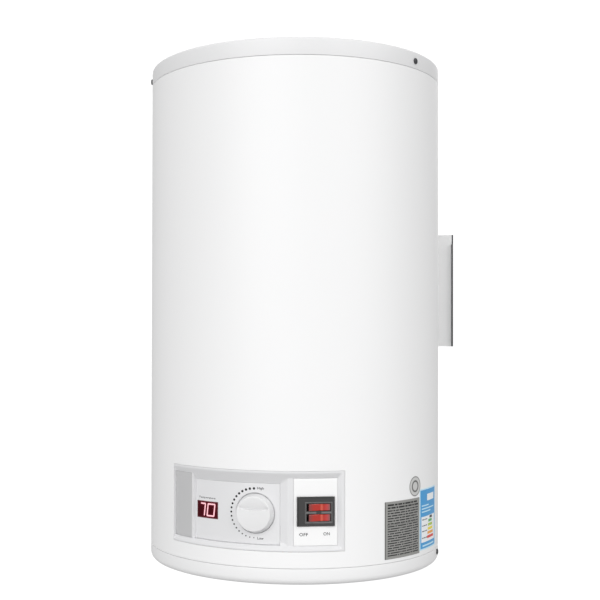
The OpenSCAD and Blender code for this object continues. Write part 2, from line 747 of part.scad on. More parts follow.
module bracket_nuts() {
    color("silver") for (spot = leg_bolts) translate([spot[0], -bracket_t - leg_t, spot[1]])
        rotate([90, 0, 0]) hex_nut(13, bolt_r + fit_gap, nut_t);
}

module tank_solid() { turned() polygon(tank_outline(0)); }
module pipe_places() {
    for (side = [-1, 1]) translate([side * pipe_x, axis_y + pipe_back, 0]) children();
}
module inner_tank() {
    color("steelblue") difference() {
        union() {
            tank_solid();
            translate([0, axis_y, 0]) disc(flange_r, neck_low, neck_high);
        }
        turned() polygon(tank_outline(tank_t));
        translate([0, axis_y, 0]) disc(neck_r, neck_low - cut, neck_high + cut);
        pipe_places() disc(plain_pipe_r + fit_gap / 2, bottom_z, bottom_z + body_h / 4);
        flange_places() disc(stud_r + fit_gap / 2, neck_low - cut, neck_low + 7);
    }
}
module flange_places() {
    for (i = [0:stud_count - 1]) translate([0, axis_y, 0]) rotate([0, 0, i * 360 / stud_count + 30])
        translate([stud_pcd / 2, 0, 0]) children();
}
module foam_insulation() {
    color("khaki") difference() {
        union() {
            translate([0, axis_y, 0]) disc(body_r - shell_t - 0.1, low_seam_z + shell_t + 0.1,
                high_seam_z - shell_t - 0.1);
            translate([0, axis_y, 0]) disc(lip_r - shell_t - 0.1, bottom_z + bottom_edge_r,
                top_z - cap_t - 0.2);
        }
        tank_solid();
        translate([0, axis_y, 0]) {
            disc(bay_r, bottom_z - cut, bay_top);
            disc(flange_r + 1, bottom_z, neck_high);
        }
        // Front bay under the tank, and the control panel's pocket above it.
        on_axis() translate([-bay_front_w / 2, -bay_front_reach, 0])
            cube([bay_front_w, bay_front_reach, bay_front_h]);
        band(-panel_half - arc(7, body_r), panel_half + arc(7, body_r), tank_r * 0.7, body_r + 5,
            panel_z - 7, panel_z + panel_h + 7);
        pipe_places() disc(collar_r + 1, bottom_z - cut, bottom_z + tank_up + dome_low / 2);
        on_axis() {
            translate([gland_at[0], gland_at[1], 0]) disc(gland_r + 8, -cut, gland_rise + 12);
            translate([gland_at[0], gland_at[1] - 10, 0]) cube([70, 20, gland_rise + 12]);
        }
        leg_slots(0.2);
        cap_screw_holes(3);
    }
}

module pipe() {
    difference() {
        union() {
            disc(pipe_r, bottom_z - pipe_drop, bottom_z - pipe_drop + thread_len);
            disc(plain_pipe_r, bottom_z - pipe_drop, pipe_top);
        }
        disc(pipe_bore / 2, bottom_z - pipe_drop - cut, pipe_top + cut);
    }
}
module inlet_pipe() { color("silver") translate([pipe_x, axis_y + pipe_back, 0]) pipe(); }
module outlet_pipe() { color("silver") translate([-pipe_x, axis_y + pipe_back, 0]) pipe(); }
module collar() {
    difference() {
        union() {
            disc(collar_r, bottom_z - collar_drop, bottom_z - 0.1);
            disc(pipe_r + collar_neck_t, bottom_z - collar_drop, bottom_z + cap_t + 3);
        }
        disc(plain_pipe_r + fit_gap, bottom_z - collar_drop - cut, bottom_z + cap_t + 10);
    }
}
module inlet_collar() { color("blue") translate([pipe_x, axis_y + pipe_back, 0]) collar(); }
module outlet_collar() { color("red") translate([-pipe_x, axis_y + pipe_back, 0]) collar(); }
module inlet_diffuser() {
    color("white") translate([pipe_x, axis_y + pipe_back, pipe_top]) difference() {
        disc(pipe_r + 3, 0, 30);
        disc(pipe_bore / 2, -cut, 26);
        for (a = [0, 60, 120]) rotate([0, 0, a]) translate([0, 0, 15]) cube([60, 5, 14], center = true);
    }
}
module outlet_tube() {
    color("silver") translate([-pipe_x, axis_y + pipe_back, 0])
        ring(outlet_r, outlet_r - 1, pipe_top - 20, tank_high - dome_high);
}
module flange_studs() {
    color("silver") flange_places() disc(stud_r, neck_low + 1, neck_low + 6.9);
    color("silver") flange_places() disc(stud_r, flange_low - nut_t - 5, neck_low + 1);
}
module flange_gasket() {
    color([0.1, 0.1, 0.1]) difference() {
        translate([0, axis_y, 0]) ring(flange_r, neck_r, gasket_low, neck_low);
        flange_places() disc(stud_r + stud_gap, gasket_low - cut, neck_low + cut);
    }
}
// Places of the parts that pass through the flange, as x, y and radius.
function flange_holes() = [[0, 0, 4], [sleeve_x, 0, sleeve_r], [-sleeve_x, 0, sleeve_r],
    for (x = [-1, 1], y = [-1, 1]) [x * element_half, y * element_y, element_r]];
module tank_flange() {
    color("silver") difference() {
        translate([0, axis_y, 0]) disc(flange_r, flange_low, gasket_low);
        flange_places() disc(stud_r + stud_gap, flange_low - cut, gasket_low + cut);
        for (h = flange_holes()) translate([h[0], axis_y + h[1], 0])
            disc(h[2] + fit_gap / 2, flange_low - cut, gasket_low + cut);
    }
}
module flange_nuts() {
    color("silver") flange_places() translate([0, 0, flange_low - nut_t])
        hex_nut(13, stud_r + fit_gap, nut_t);
}
module element(y, length) {
    color("gray") translate([0, axis_y + y, 0]) {
        for (side = [-1, 1]) translate([side * element_half, 0, 0])
            disc(element_r, flange_low - 8, flange_low + length);
        translate([0, 0, flange_low + length]) rotate([90, 0, 0]) rotate_extrude(angle = 180)
            translate([element_half, 0]) circle(r = element_r, $fn = 48);
    }
}
module heating_element_long() { element(element_y, element_len); }
module heating_element_short() { element(-element_y, element_len * short_share); }
module element_terminals() {
    color("silver") for (x = [-1, 1], y = [-1, 1]) translate([x * element_half, axis_y + y * element_y, 0]) {
        disc(2, flange_low - 20, flange_low - 8);
        translate([0, 0, flange_low - 17]) cylinder(d = 7 / cos(30), h = 3, $fn = 6);
    }
}
module anode_rod() {
    color("silver") translate([0, axis_y, 0]) {
        disc(anode_d / 2, gasket_low + 3, gasket_low + 3 + anode_len);
        disc(4, flange_low - 12, gasket_low + 3);
    }
}
module anode_nut() {
    color("gold") translate([0, axis_y, flange_low - nut_t]) hex_nut(13, 4 + fit_gap, nut_t);
}
module sleeve() {
    difference() {
        union() {
            disc(sleeve_r, flange_low, flange_low + sleeve_len);
            disc(sleeve_r + 3, flange_low - 2, flange_low);
        }
        disc(sleeve_bore, flange_low - 3, flange_low + sleeve_len - 2);
    }
}
module thermostat_well() { color("tan") translate([sleeve_x, axis_y, 0]) sleeve(); }
module cutout_well() { color("tan") translate([-sleeve_x, axis_y, 0]) sleeve(); }

module thermal_cutout() {
    wall = 4;
    color("black") on_axis() translate([reset_at[0], reset_at[1], 0]) difference() {
        block(cutout_size, cap_t);
        disc(reset_r + running_gap * 2, cap_t - cut, cap_t + 12);
        disc(reset_flange_r + 0.4, cap_t + wall - 1.5, cap_t + wall + 2 + reset_travel);
    }
}
module reset_button() {
    color("red") on_axis() translate([reset_at[0], reset_at[1], 0]) {
        disc(reset_r, 0.3, 9.4);
        disc(reset_flange_r, 4.6, 5.9);
    }
}
module terminal_block() {
    color("ivory") on_axis() translate([block_at[0], block_at[1], 0]) difference() {
        block(block_size, cap_t);
        for (i = [-1, 0, 1]) translate([i * 15, 0, cap_t + block_size[2] - 6]) disc(3, 0, 10);
        for (i = [-1, 1]) translate([i * 7.5, 0, cap_t + block_size[2] - 8])
            block([2, block_size[1] + 2, 10], 0);
    }
}
module service_cover() {
    color("whitesmoke") on_axis() difference() {
        disc(service_r, 0.2, service_t + 0.3);
        service_screw_spots() disc(2.2, -cut, 10);
    }
}
module service_cover_screws() {
    color("dimgray") on_axis() service_screw_spots() translate([0, 0, 0.15]) mirror([0, 0, 1])
        pan_screw(3.6, 1.8, 1.65, 8);
}
module cable_gland() {
    color("black") on_axis() translate([gland_at[0], gland_at[1], 0]) difference() {
        union() {
            translate([0, 0, -gland_drop]) cylinder(r1 = gland_r - 1, r2 = gland_r + 2, h = gland_drop - 5);
            translate([0, 0, -5]) cylinder(d = 22 / cos(30), h = 4.9, $fn = 6);
            disc(gland_r, -0.2, gland_rise);
        }
        disc(gland_bore / 2, -gland_drop - cut, gland_rise + cut);
    }
}
module gland_nut() {
    color("black") on_axis() translate([gland_at[0], gland_at[1], cap_t]) hex_nut(20, gland_r + fit_gap, 5);
}
module element_wires() {
    color("brown") on_axis() {
        swept(block_wire_route, wire_r);
        swept(cutout_wire_route, wire_r);
    }
}
module switch_wires() { color("royalblue") on_axis() swept(switch_wire_route, wire_r * 1.6); }
module display_cable() { color("gray") on_axis() swept(display_route, wire_r); }

outer_shell();
top_cap();
bottom_cap();
top_cap_screws();
bottom_cap_screws();
panel_frame();
main_plate();
end_trim();
switch_plate();
display_window();
led_display();
display_board();
temperature_knob();
thermostat_spindle();
thermostat_body();
thermostat_bulb();
capillary_tube();
switch_housing();
rocker_upper();
rocker_lower();
switch_terminals();
rating_label();
efficiency_label();
seal_sticker();
wall_bracket();
support_legs();
bracket_screws();
bracket_nuts();
inner_tank();
foam_insulation();
inlet_pipe();
outlet_pipe();
inlet_collar();
outlet_collar();
inlet_diffuser();
outlet_tube();
flange_studs();
flange_gasket();
tank_flange();
flange_nuts();
heating_element_long();
heating_element_short();
element_terminals();
anode_rod();
anode_nut();
thermostat_well();
cutout_well();
thermal_cutout();
reset_button();
terminal_block();
service_cover();
service_cover_screws();
cable_gland();
gland_nut();
element_wires();
switch_wires();
display_cable();
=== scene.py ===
# %% [markdown]
# # A wall-hung storage water heater
# The heater is a round white drum that hangs on a steel plate. Its working parts come from the packed
# design, which stands here as a fixed frame: nothing in it is moved or resized. This lesson builds the
# skins, plates, knob, switch and labels that an eye meets, and gives every hidden part its finish.

# %% Load the design
import json
import math
import bpy
import numpy as np
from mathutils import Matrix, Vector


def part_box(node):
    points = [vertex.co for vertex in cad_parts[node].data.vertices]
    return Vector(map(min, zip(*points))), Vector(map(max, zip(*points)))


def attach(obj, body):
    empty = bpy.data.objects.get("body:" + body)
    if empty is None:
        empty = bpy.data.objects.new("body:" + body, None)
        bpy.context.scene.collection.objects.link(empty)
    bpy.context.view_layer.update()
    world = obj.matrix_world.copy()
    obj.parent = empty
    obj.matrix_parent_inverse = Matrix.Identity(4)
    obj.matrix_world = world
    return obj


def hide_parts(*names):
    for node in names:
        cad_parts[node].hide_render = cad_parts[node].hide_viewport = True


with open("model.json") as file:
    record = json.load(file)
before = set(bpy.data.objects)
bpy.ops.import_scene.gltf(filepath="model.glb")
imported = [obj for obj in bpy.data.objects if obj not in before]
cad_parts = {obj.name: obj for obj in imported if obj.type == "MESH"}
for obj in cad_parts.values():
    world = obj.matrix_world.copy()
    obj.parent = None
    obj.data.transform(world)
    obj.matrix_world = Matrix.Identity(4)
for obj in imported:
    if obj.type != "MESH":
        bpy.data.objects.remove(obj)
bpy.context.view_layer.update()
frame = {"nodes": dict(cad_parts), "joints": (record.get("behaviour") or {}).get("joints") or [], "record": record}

MM = 0.001

# %% [markdown]
# ## Measuring the frame
# A drum is easiest to describe with an angle, a radius and a height, so each node is measured that way.
# Angles count from the front, where the control panel is, and grow towards +X. Heights are in
# millimetres, and so is everything in this lesson until a mesh is made.

# %% Helpers that measure nodes


def span(node):
    """Lowest and highest corner of a node, in millimetres."""
    low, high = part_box(node)
    return np.array(low) / MM, np.array(high) / MM


lid_low, lid_high = span("bottom_cap")
body_r = (lid_high[0] - lid_low[0]) / 2
axis_y = (lid_high[1] + lid_low[1]) / 2


def middle(node):
    """Middle of a node's box, in millimetres."""
    return sum(span(node)) / 2


def vertex_table(mesh):
    """A mesh's vertices as rows of three numbers."""
    co = np.empty(len(mesh.vertices) * 3)
    mesh.vertices.foreach_get("co", co)
    return co.reshape(-1, 3)


def polar_span(node):
    """Range of radius, angle and height of a node's vertices about the drum's axis."""
    x, y, z = (vertex_table(frame["nodes"][node].data) / MM).T
    radius, angle = np.hypot(x, y - axis_y), np.arctan2(x, axis_y - y)
    return [(values.min(), values.max()) for values in (radius, angle, z)]


bottom_z = lid_low[2]
top_z = span("top_cap")[1][2]
low_cap_edge = lid_high[2]
high_cap_edge = span("top_cap")[0][2]
seam_gap = 0.5          # open joint between the shell and each cap
low_seam, high_seam = low_cap_edge + seam_gap, high_cap_edge - seam_gap
print(f"drum radius {body_r:.1f}, axis at y {axis_y:.1f}, from z {bottom_z:.1f} to {top_z:.1f}")

# %% Places of the panel's plates and of the dial and the switch
(_, trim_r), trim_angles, trim_heights = polar_span("end_trim")
(_, main_r), main_angles, main_heights = polar_span("main_plate")
_, switch_angles, switch_heights = polar_span("switch_plate")
window_angles, window_heights = polar_span("display_window")[1:]
frame_angles, frame_heights = polar_span("panel_frame")[1:]
flange = 5.0            # the frame's hidden flange behind the shell
face_r = body_r + 0.3   # the frame stands a little proud of the shell
frame_back_r = main_r - 5.5
panel_low, panel_high = frame_heights[0] + flange, frame_heights[1] - flange
panel_half = frame_angles[1] - flange / body_r
plate_t = 2.5           # thickness of the three plates
plate_gap = 0.3         # gap round a plate in its pocket
joints = {joint["name"]: joint for joint in frame["joints"]}


def joint_spot(name):
    """Angle, distance from the drum's axis and height of a joint's origin, in radians and millimetres."""
    x, y, z = np.array(joints[name]["pos_m"]) / MM
    return math.atan2(x, axis_y - y), math.hypot(x, y - axis_y), z


knob_angle, knob_back, knob_z = joint_spot("knob_turn")
switch_angle = sum(switch_angles) / 2
print(f"plates at radius {trim_r:.1f} and {main_r:.1f}; knob at {math.degrees(knob_angle):.2f} degrees")

# %% [markdown]
# ## Surfaces from grids
# Nearly everything on this heater is a grid of points bent into shape: a cap is an outline turned about
# the axis, a plate is a sheet with a front and a back, a rim is a row of closed loops. So the few helpers
# below number the faces of a grid, close its seams and poles, and see that faces point outwards.

# %% Numbering faces


def grid_faces(rows, columns, loop_rows=False, loop_columns=False):
    """Quads between neighbouring points of a grid numbered row by row. A loop joins its last line to its
    first."""
    row, column = np.meshgrid(np.arange(rows - (not loop_rows)), np.arange(columns - (not loop_columns)),
                              indexing="ij")
    next_row, next_column = (row + 1) % rows, (column + 1) % columns
    corners = [row * columns + column, row * columns + next_column,
               next_row * columns + next_column, next_row * columns + column]
    return np.stack(corners, -1).reshape(-1, 4)


def cell_middles(us, vs):
    """The middles of the cells of a grid, as two arrays."""
    return np.meshgrid((us[1:] + us[:-1]) / 2, (vs[1:] + vs[:-1]) / 2, indexing="ij")


def full_turn(count):
    """Evenly spaced angles round a circle."""
    return np.linspace(0, 2 * math.pi, count, endpoint=False)


def outward(points, faces):
    """The faces of a closed surface, turned round if the volume they enclose comes out negative."""
    a, b, c = points[faces[:, 0]], points[faces[:, 1]], points[faces[:, 2]]
    volume = np.einsum("ij,ij->i", a, np.cross(b, c)).sum()
    if faces.shape[1] == 4:
        volume += np.einsum("ij,ij->i", a, np.cross(c, points[faces[:, 3]])).sum()
    return faces if volume > 0 else faces[:, ::-1]


def joined(*parts):
    """Several (points, faces) as one, with triangles as quads that name their last corner twice."""
    points, faces, first = [], [], 0
    for part_points, part_faces in parts:
        if part_faces.shape[1] == 3:
            part_faces = part_faces[:, [0, 1, 2, 2]]
        points.append(part_points)
        faces.append(part_faces + first)
        first += len(part_points)
    return np.concatenate(points), np.concatenate(faces)


def stacked_loops(loops, ends="poles"):
    """A closed surface through loops of equal length, an array (loop, point, 3).

    With ends="poles" the middle of the first and the last loop gets a point that closes it with a fan of
    triangles, and with ends="loop" the last loop joins the first, as on a tyre."""
    count, around = loops.shape[:2]
    points = loops.reshape(-1, 3)
    quads = grid_faces(count, around, loop_rows=ends == "loop", loop_columns=True)
    if ends == "loop":
        return points, outward(points, quads)
    here = np.arange(around)
    there = (here + 1) % around
    low, high = len(points), len(points) + 1
    last = (count - 1) * around
    points = np.concatenate([points, loops[0].mean(0)[None], loops[-1].mean(0)[None]])
    fans = np.concatenate([np.stack([there, here, np.full(around, low), np.full(around, low)], -1),
                           np.stack([last + here, last + there, np.full(around, high),
                                     np.full(around, high)], -1)])
    return points, outward(points, np.concatenate([quads, fans]))


def slab(us, vs, front, back, place, keep=None):
    """A closed solid between two height fields over one grid: place(u, v, height) gives each point.

    A field is a function of u and v, or one number. keep(u, v) says which cells hold material, by their
    middles. Every edge that only one kept cell uses gets a wall from the front to the back, so holes and
    outer rims close alike."""
    u, v = np.meshgrid(us, vs, indexing="ij")
    rows, columns = u.shape
    fields = [field(u, v) if callable(field) else field + 0 * u for field in (front, back)]
    points = np.concatenate([place(u, v, field).reshape(-1, 3) for field in fields])
    top = grid_faces(rows, columns)
    if keep is not None:
        top = top[keep(*cell_middles(us, vs)).ravel()]
    back_first = rows * columns
    start = top.ravel()
    end = np.roll(top, -1, axis=1).ravel()
    lone = ~np.isin(start * back_first + end, end * back_first + start)
    start, end = start[lone], end[lone]
    walls = np.stack([end, start, start + back_first, end + back_first], -1)
    faces = np.concatenate([top, top[:, ::-1] + back_first, walls])
    used, numbers = np.unique(faces, return_inverse=True)
    points, faces = points[used], numbers.reshape(faces.shape)
    return points, outward(points, faces)


def lines(start, stop, marks=(), step=4.0):
    """Grid lines from start to stop: even ones, and closer ones round each mark, where the surface bends."""
    close = np.array([-1.6, -0.9, -0.5, -0.25, -0.1, 0, 0.1, 0.25, 0.5, 0.9, 1.6])
    even = np.linspace(start, stop, max(2, int(math.ceil((stop - start) / step)) + 1))
    near = (np.array(marks, float)[:, None] + close).ravel()
    every = np.unique(np.round(np.concatenate([even, near[(near > start) & (near < stop)]]), 3))
    return every[np.concatenate([[True], np.diff(every) > 0.02])]


print("a 3 by 4 grid has", len(grid_faces(3, 4)), "quads")

# %% Outlines with rounded corners


def rounded(corners, radii, steps=6):
    """A line of points through corners, each turned along an arc of its own radius.

    An arc starts and ends at radius * tan(turn / 2) from the corner, and its points swing between the two
    edge normals about the arc's centre."""
    corners = np.array(corners, float)
    out = [corners[0]]
    for before, corner, after, radius in zip(corners[:-2], corners[1:-1], corners[2:], radii):
        a, b = before - corner, after - corner
        a, b = a / np.hypot(*a), b / np.hypot(*b)
        half = math.acos(np.clip(a @ b, -1, 1)) / 2
        if radius == 0 or half > math.pi / 2 - 0.01:
            out.append(corner)
            continue
        reach = radius / math.tan(half)
        centre = corner + (a + b) / np.hypot(*(a + b)) * radius / math.sin(half)
        first, last = corner + a * reach - centre, corner + b * reach - centre
        turn = math.atan2(first[0] * last[1] - first[1] * last[0], first @ last)
        for share in np.linspace(0, 1, steps + 1):
            cos, sin = math.cos(turn * share), math.sin(turn * share)
            out.append(centre + [first[0] * cos - first[1] * sin, first[0] * sin + first[1] * cos])
    out.append(corners[-1])
    return np.array(out)


def rounded_box(width, height, radius, side=12, corner=6):
    """Points round a box with round corners, the same number on each side and on each corner."""
    x, y = width / 2 - radius, height / 2 - radius
    out = []
    for turn, (cx, cy) in enumerate([(x, y), (-x, y), (-x, -y), (x, -y)]):
        angle = (turn + np.linspace(0, 1, corner + 1)) * math.pi / 2
        arc = np.stack([cx + radius * np.cos(angle), cy + radius * np.sin(angle)], -1)
        ahead = np.array([-math.sin(angle[-1]), math.cos(angle[-1])]) * 2 * (y if turn % 2 else x)
        out += [arc, arc[-1] + np.linspace(0, 1, side + 1)[1:-1, None] * ahead]
    return np.concatenate(out)


def about(centre, radius, angle, height):
    """Points at a radius, an angle and a height about an upright axis through a centre."""
    x, y = centre
    return np.stack(np.broadcast_arrays(x + radius * np.sin(angle), y - radius * np.cos(angle), height), -1)


def on_drum(angle, z, radius):
    """Points from an angle about the drum's axis, a height and a radius."""
    return about((0, axis_y), radius, angle, z)


def turned(outline, segments=192, centre=(0, axis_y), ends="poles"):
    """An outline of radius and height turned a full circle about an upright axis."""
    return stacked_loops(about(centre, outline[:, 0, None], full_turn(segments), outline[:, 1, None]), ends)


def on_radial(angle, distance, height):
    """A place function for a flat patch square to the drum's radius: x along the drum, y up, z outwards."""
    along = np.array([math.cos(angle), math.sin(angle), 0])
    out = np.array([math.sin(angle), -math.cos(angle), 0])
    origin = np.array([0, axis_y, height]) + distance * out

    def place(x, y, z):
        x, y, z = (np.asarray(value, float)[..., None] for value in (x, y, z))
        return origin + x * along + y * np.array([0, 0, 1.0]) + z * out
    return place


def placed(surface, place):
    """A surface moved by a place function, with its faces turned outwards."""
    points, faces = surface
    points = place(*points.T)
    return points, outward(points, faces)


def smooth_max(a, b, blend=0.35):
    """The larger of two heights, with a rounded hollow where they cross: (a + b + sqrt((a-b)^2 + k^2)) / 2."""
    return (a + b + np.sqrt((a - b) ** 2 + blend ** 2)) / 2


def smooth_min(a, b, blend=0.35):
    """The smaller of two heights, with a rounded edge where they cross."""
    return -smooth_max(-a, -b, blend)


def ease(value, low, high):
    """Rises from 0 to 1 between low and high without a kink: 3t^2 - 2t^3."""
    t = np.clip((value - low) / (high - low), 0, 1)
    return t * t * (3 - 2 * t)


print("a rounded box has", len(rounded_box(20, 10, 2)), "points")

# %% Making a piece
made = {}


def linked(name, data):
    """A new object in the scene."""
    thing = bpy.data.objects.new(name, data)
    bpy.context.scene.collection.objects.link(thing)
    return thing


def piece(name, surface, look, body="case", stands_for=(), slot=None, crease=32, uv=None):
    """A mesh object from (points, faces) in millimetres, riding on a body and standing for design nodes.

    look names its finish; slot is not used. Edges that turn by more than crease degrees stay sharp. uv holds one
    pair for each point."""
    points, faces = surface
    rows = [row[:3] if row[2] == row[3] else row for row in faces.tolist()]
    mesh = bpy.data.meshes.new(name)
    mesh.from_pydata((points * MM).tolist(), [], rows)
    mesh.polygons.foreach_set("use_smooth", np.ones(len(rows), bool))
    mesh.set_sharp_from_angle(angle=math.radians(crease))
    if uv is not None:
        corner_points = np.empty(len(mesh.loops), int)
        mesh.loops.foreach_get("vertex_index", corner_points)
        layer = mesh.uv_layers.new(name="plan")
        layer.data.foreach_set("uv", np.asarray(uv, np.float32)[corner_points].ravel())
    mesh.materials.append(LOOK[look])
    mesh.validate()
    thing = linked(name, mesh)
    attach(thing, body)
    if stands_for:
        slot = slot or look
        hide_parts(*stands_for)
    made[name] = len(rows)
    print(f"{name}: {len(points)} points, {len(rows)} faces")
    return thing

# %% [markdown]
# ## Finishes
# No real surface is one flat colour: paint has a faint orange peel, moulded plastic a fine grain, and
# drawn metal streaks that run one way. One node group makes such grain from two noises in Object space,
# a fine one for relief and a broad one for tone. Each finish is a Principled surface that takes its
# colour, roughness and relief from that group, with its own scale and strength.

# %% The grain group


def add(tree, kind, sockets=(), **settings):
    """A new node. Each (socket, value) sets an input, or links it when the value is another node's output."""
    node = tree.nodes.new(kind)
    for setting, value in settings.items():
        setattr(node, setting, value)
    for socket, value in sockets:
        if isinstance(value, bpy.types.NodeSocket):
            tree.links.new(value, node.inputs[socket])
        else:
            node.inputs[socket].default_value = value
    return node


def math_node(tree, operation, a, b, kind="ShaderNodeMath"):
    """The result of an operation on two numbers or outputs."""
    return add(tree, kind, ((0, a), (1, b)), operation=operation).outputs[0]


def grain_group():
    """Group that varies a colour and a roughness by two noises and gives a height for relief."""
    tree = bpy.data.node_groups.new("grain", "ShaderNodeTree")
    colour, number, vector = "NodeSocketColor", "NodeSocketFloat", "NodeSocketVector"
    for name, kind, value in (("Color", colour, (0.8, 0.8, 0.8, 1)), ("Roughness", number, 0.4),
                              ("Scale", number, 500.0), ("Stretch", vector, (1, 1, 1)),
                              ("Tone", number, 0.03), ("Gloss", number, 0.05)):
        tree.interface.new_socket(name, in_out="INPUT", socket_type=kind).default_value = value
    for name, kind in (("Color", colour), ("Roughness", number), ("Height", number)):
        tree.interface.new_socket(name, in_out="OUTPUT", socket_type=kind)
    given, out = add(tree, "NodeGroupInput").outputs, add(tree, "NodeGroupOutput")
    place = add(tree, "ShaderNodeTexCoord").outputs["Object"]
    stretched = math_node(tree, "MULTIPLY", place, given["Stretch"], "ShaderNodeVectorMath")
    fine = add(tree, "ShaderNodeTexNoise", (("Vector", stretched), ("Scale", given["Scale"]),
                                            ("Detail", 3.0))).outputs["Fac"]
    broad = add(tree, "ShaderNodeTexNoise", (("Vector", place), ("Scale", 14.0),
                                             ("Detail", 2.0))).outputs["Fac"]
    centred = math_node(tree, "SUBTRACT", math_node(tree, "ADD", fine, broad), 1.0)
    for amount, name in (("Tone", "Color"), ("Gloss", "Roughness")):
        # the value times 1 + amount * (sum of the noises - 1), which stays near the value
        factor = math_node(tree, "ADD", math_node(tree, "MULTIPLY", centred, given[amount]), 1.0)
        product = math_node(tree, "MULTIPLY", given[name], factor, "ShaderNodeVectorMath")
        tree.links.new(product, out.inputs[name])
    tree.links.new(fine, out.inputs["Height"])
    return tree


GRAIN = grain_group()
print("group", GRAIN.name, "with", len(GRAIN.nodes), "nodes")

# %% One function for a finish


def finish(name, colour, rough, metal=0.0, grain=700.0, relief=0.01, tone=0.03, gloss=0.15,
           stretch=(1, 1, 1), coat=0.0, shine=0.5, paint=None):
    """A Principled surface with the grain group. relief is the depth of the grain in millimetres.

    paint(tree, colour) may return a socket whose colour takes the place of the plain one."""
    material = bpy.data.materials.new(name)
    material.use_nodes = True
    material.diffuse_color = (*colour, 1)
    tree = material.node_tree
    surface = tree.nodes["Principled BSDF"].inputs
    grained = add(tree, "ShaderNodeGroup", node_tree=GRAIN)
    for sockets, values in (
            (surface, (("Metallic", metal), ("Coat Weight", coat), ("Specular IOR Level", shine))),
            (grained.inputs, (("Color", (*colour, 1)), ("Roughness", rough), ("Scale", grain),
                              ("Stretch", stretch), ("Tone", tone), ("Gloss", gloss)))):
        for socket, value in values:
            sockets[socket].default_value = value
    if paint:
        tree.links.new(paint(tree, colour), grained.inputs["Color"])
    bump = add(tree, "ShaderNodeBump", (("Strength", 1.0), ("Distance", relief * MM),
                                        ("Height", grained.outputs["Height"])))
    for output, socket in ((grained.outputs["Color"], "Base Color"),
                           (grained.outputs["Roughness"], "Roughness"), (bump.outputs["Normal"], "Normal")):
        tree.links.new(output, surface[socket])
    return material


def attribute_paint(tree, colour):
    """The colour painted on the mesh under the name paint."""
    return add(tree, "ShaderNodeAttribute", attribute_name="paint").outputs["Color"]


def bracket_flange_shade(tree, colour):
    """Painted shade: dark where the wall bracket's ends are bent back, past a distance on either side in Object X,
    standing in for their shadow behind the drum.
    """
    bracket_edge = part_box("wall_bracket")[1].x - 2.2 * MM
    place = add(tree, "ShaderNodeTexCoord").outputs["Object"]
    across = add(tree, "ShaderNodeSeparateXYZ", ((0, place),)).outputs["X"]
    size = add(tree, "ShaderNodeMath", ((0, across),), operation="ABSOLUTE").outputs[0]
    beyond = math_node(tree, "GREATER_THAN", size, bracket_edge)
    return add(tree, "ShaderNodeMix", ((0, beyond), (6, (*colour, 1)), (7, (0.035, 0.035, 0.04, 1))),
               data_type="RGBA").outputs[2]


def rocker_shade_and_highlight(tree, colour):
    """Red, with painted shade darkening both ends and painted highlights at 0.64 and 0.88 along, as a ramp along
    the UV map.
    """
    along = add(tree, "ShaderNodeSeparateXYZ", ((0, add(tree, "ShaderNodeUVMap").outputs[0]),)).outputs[0]
    ramp = add(tree, "ShaderNodeValToRGB", ((0, along),))
    # painted shade at both ends, painted highlights at 0.64 and 0.88
    stops = [(0.0, (0.16, 0.05, 0.05)), (0.28, colour), (0.56, colour), (0.64, (0.62, 0.11, 0.07)),
             (0.72, colour), (0.88, (0.50, 0.05, 0.05)), (1.0, (0.26, 0.09, 0.09))]
    for _ in stops[2:]:
        ramp.color_ramp.elements.new(0.5)
    for element, (position, tint) in zip(ramp.color_ramp.elements, stops):
        element.position, element.color = position, (*tint, 1)
    return ramp.outputs[0]


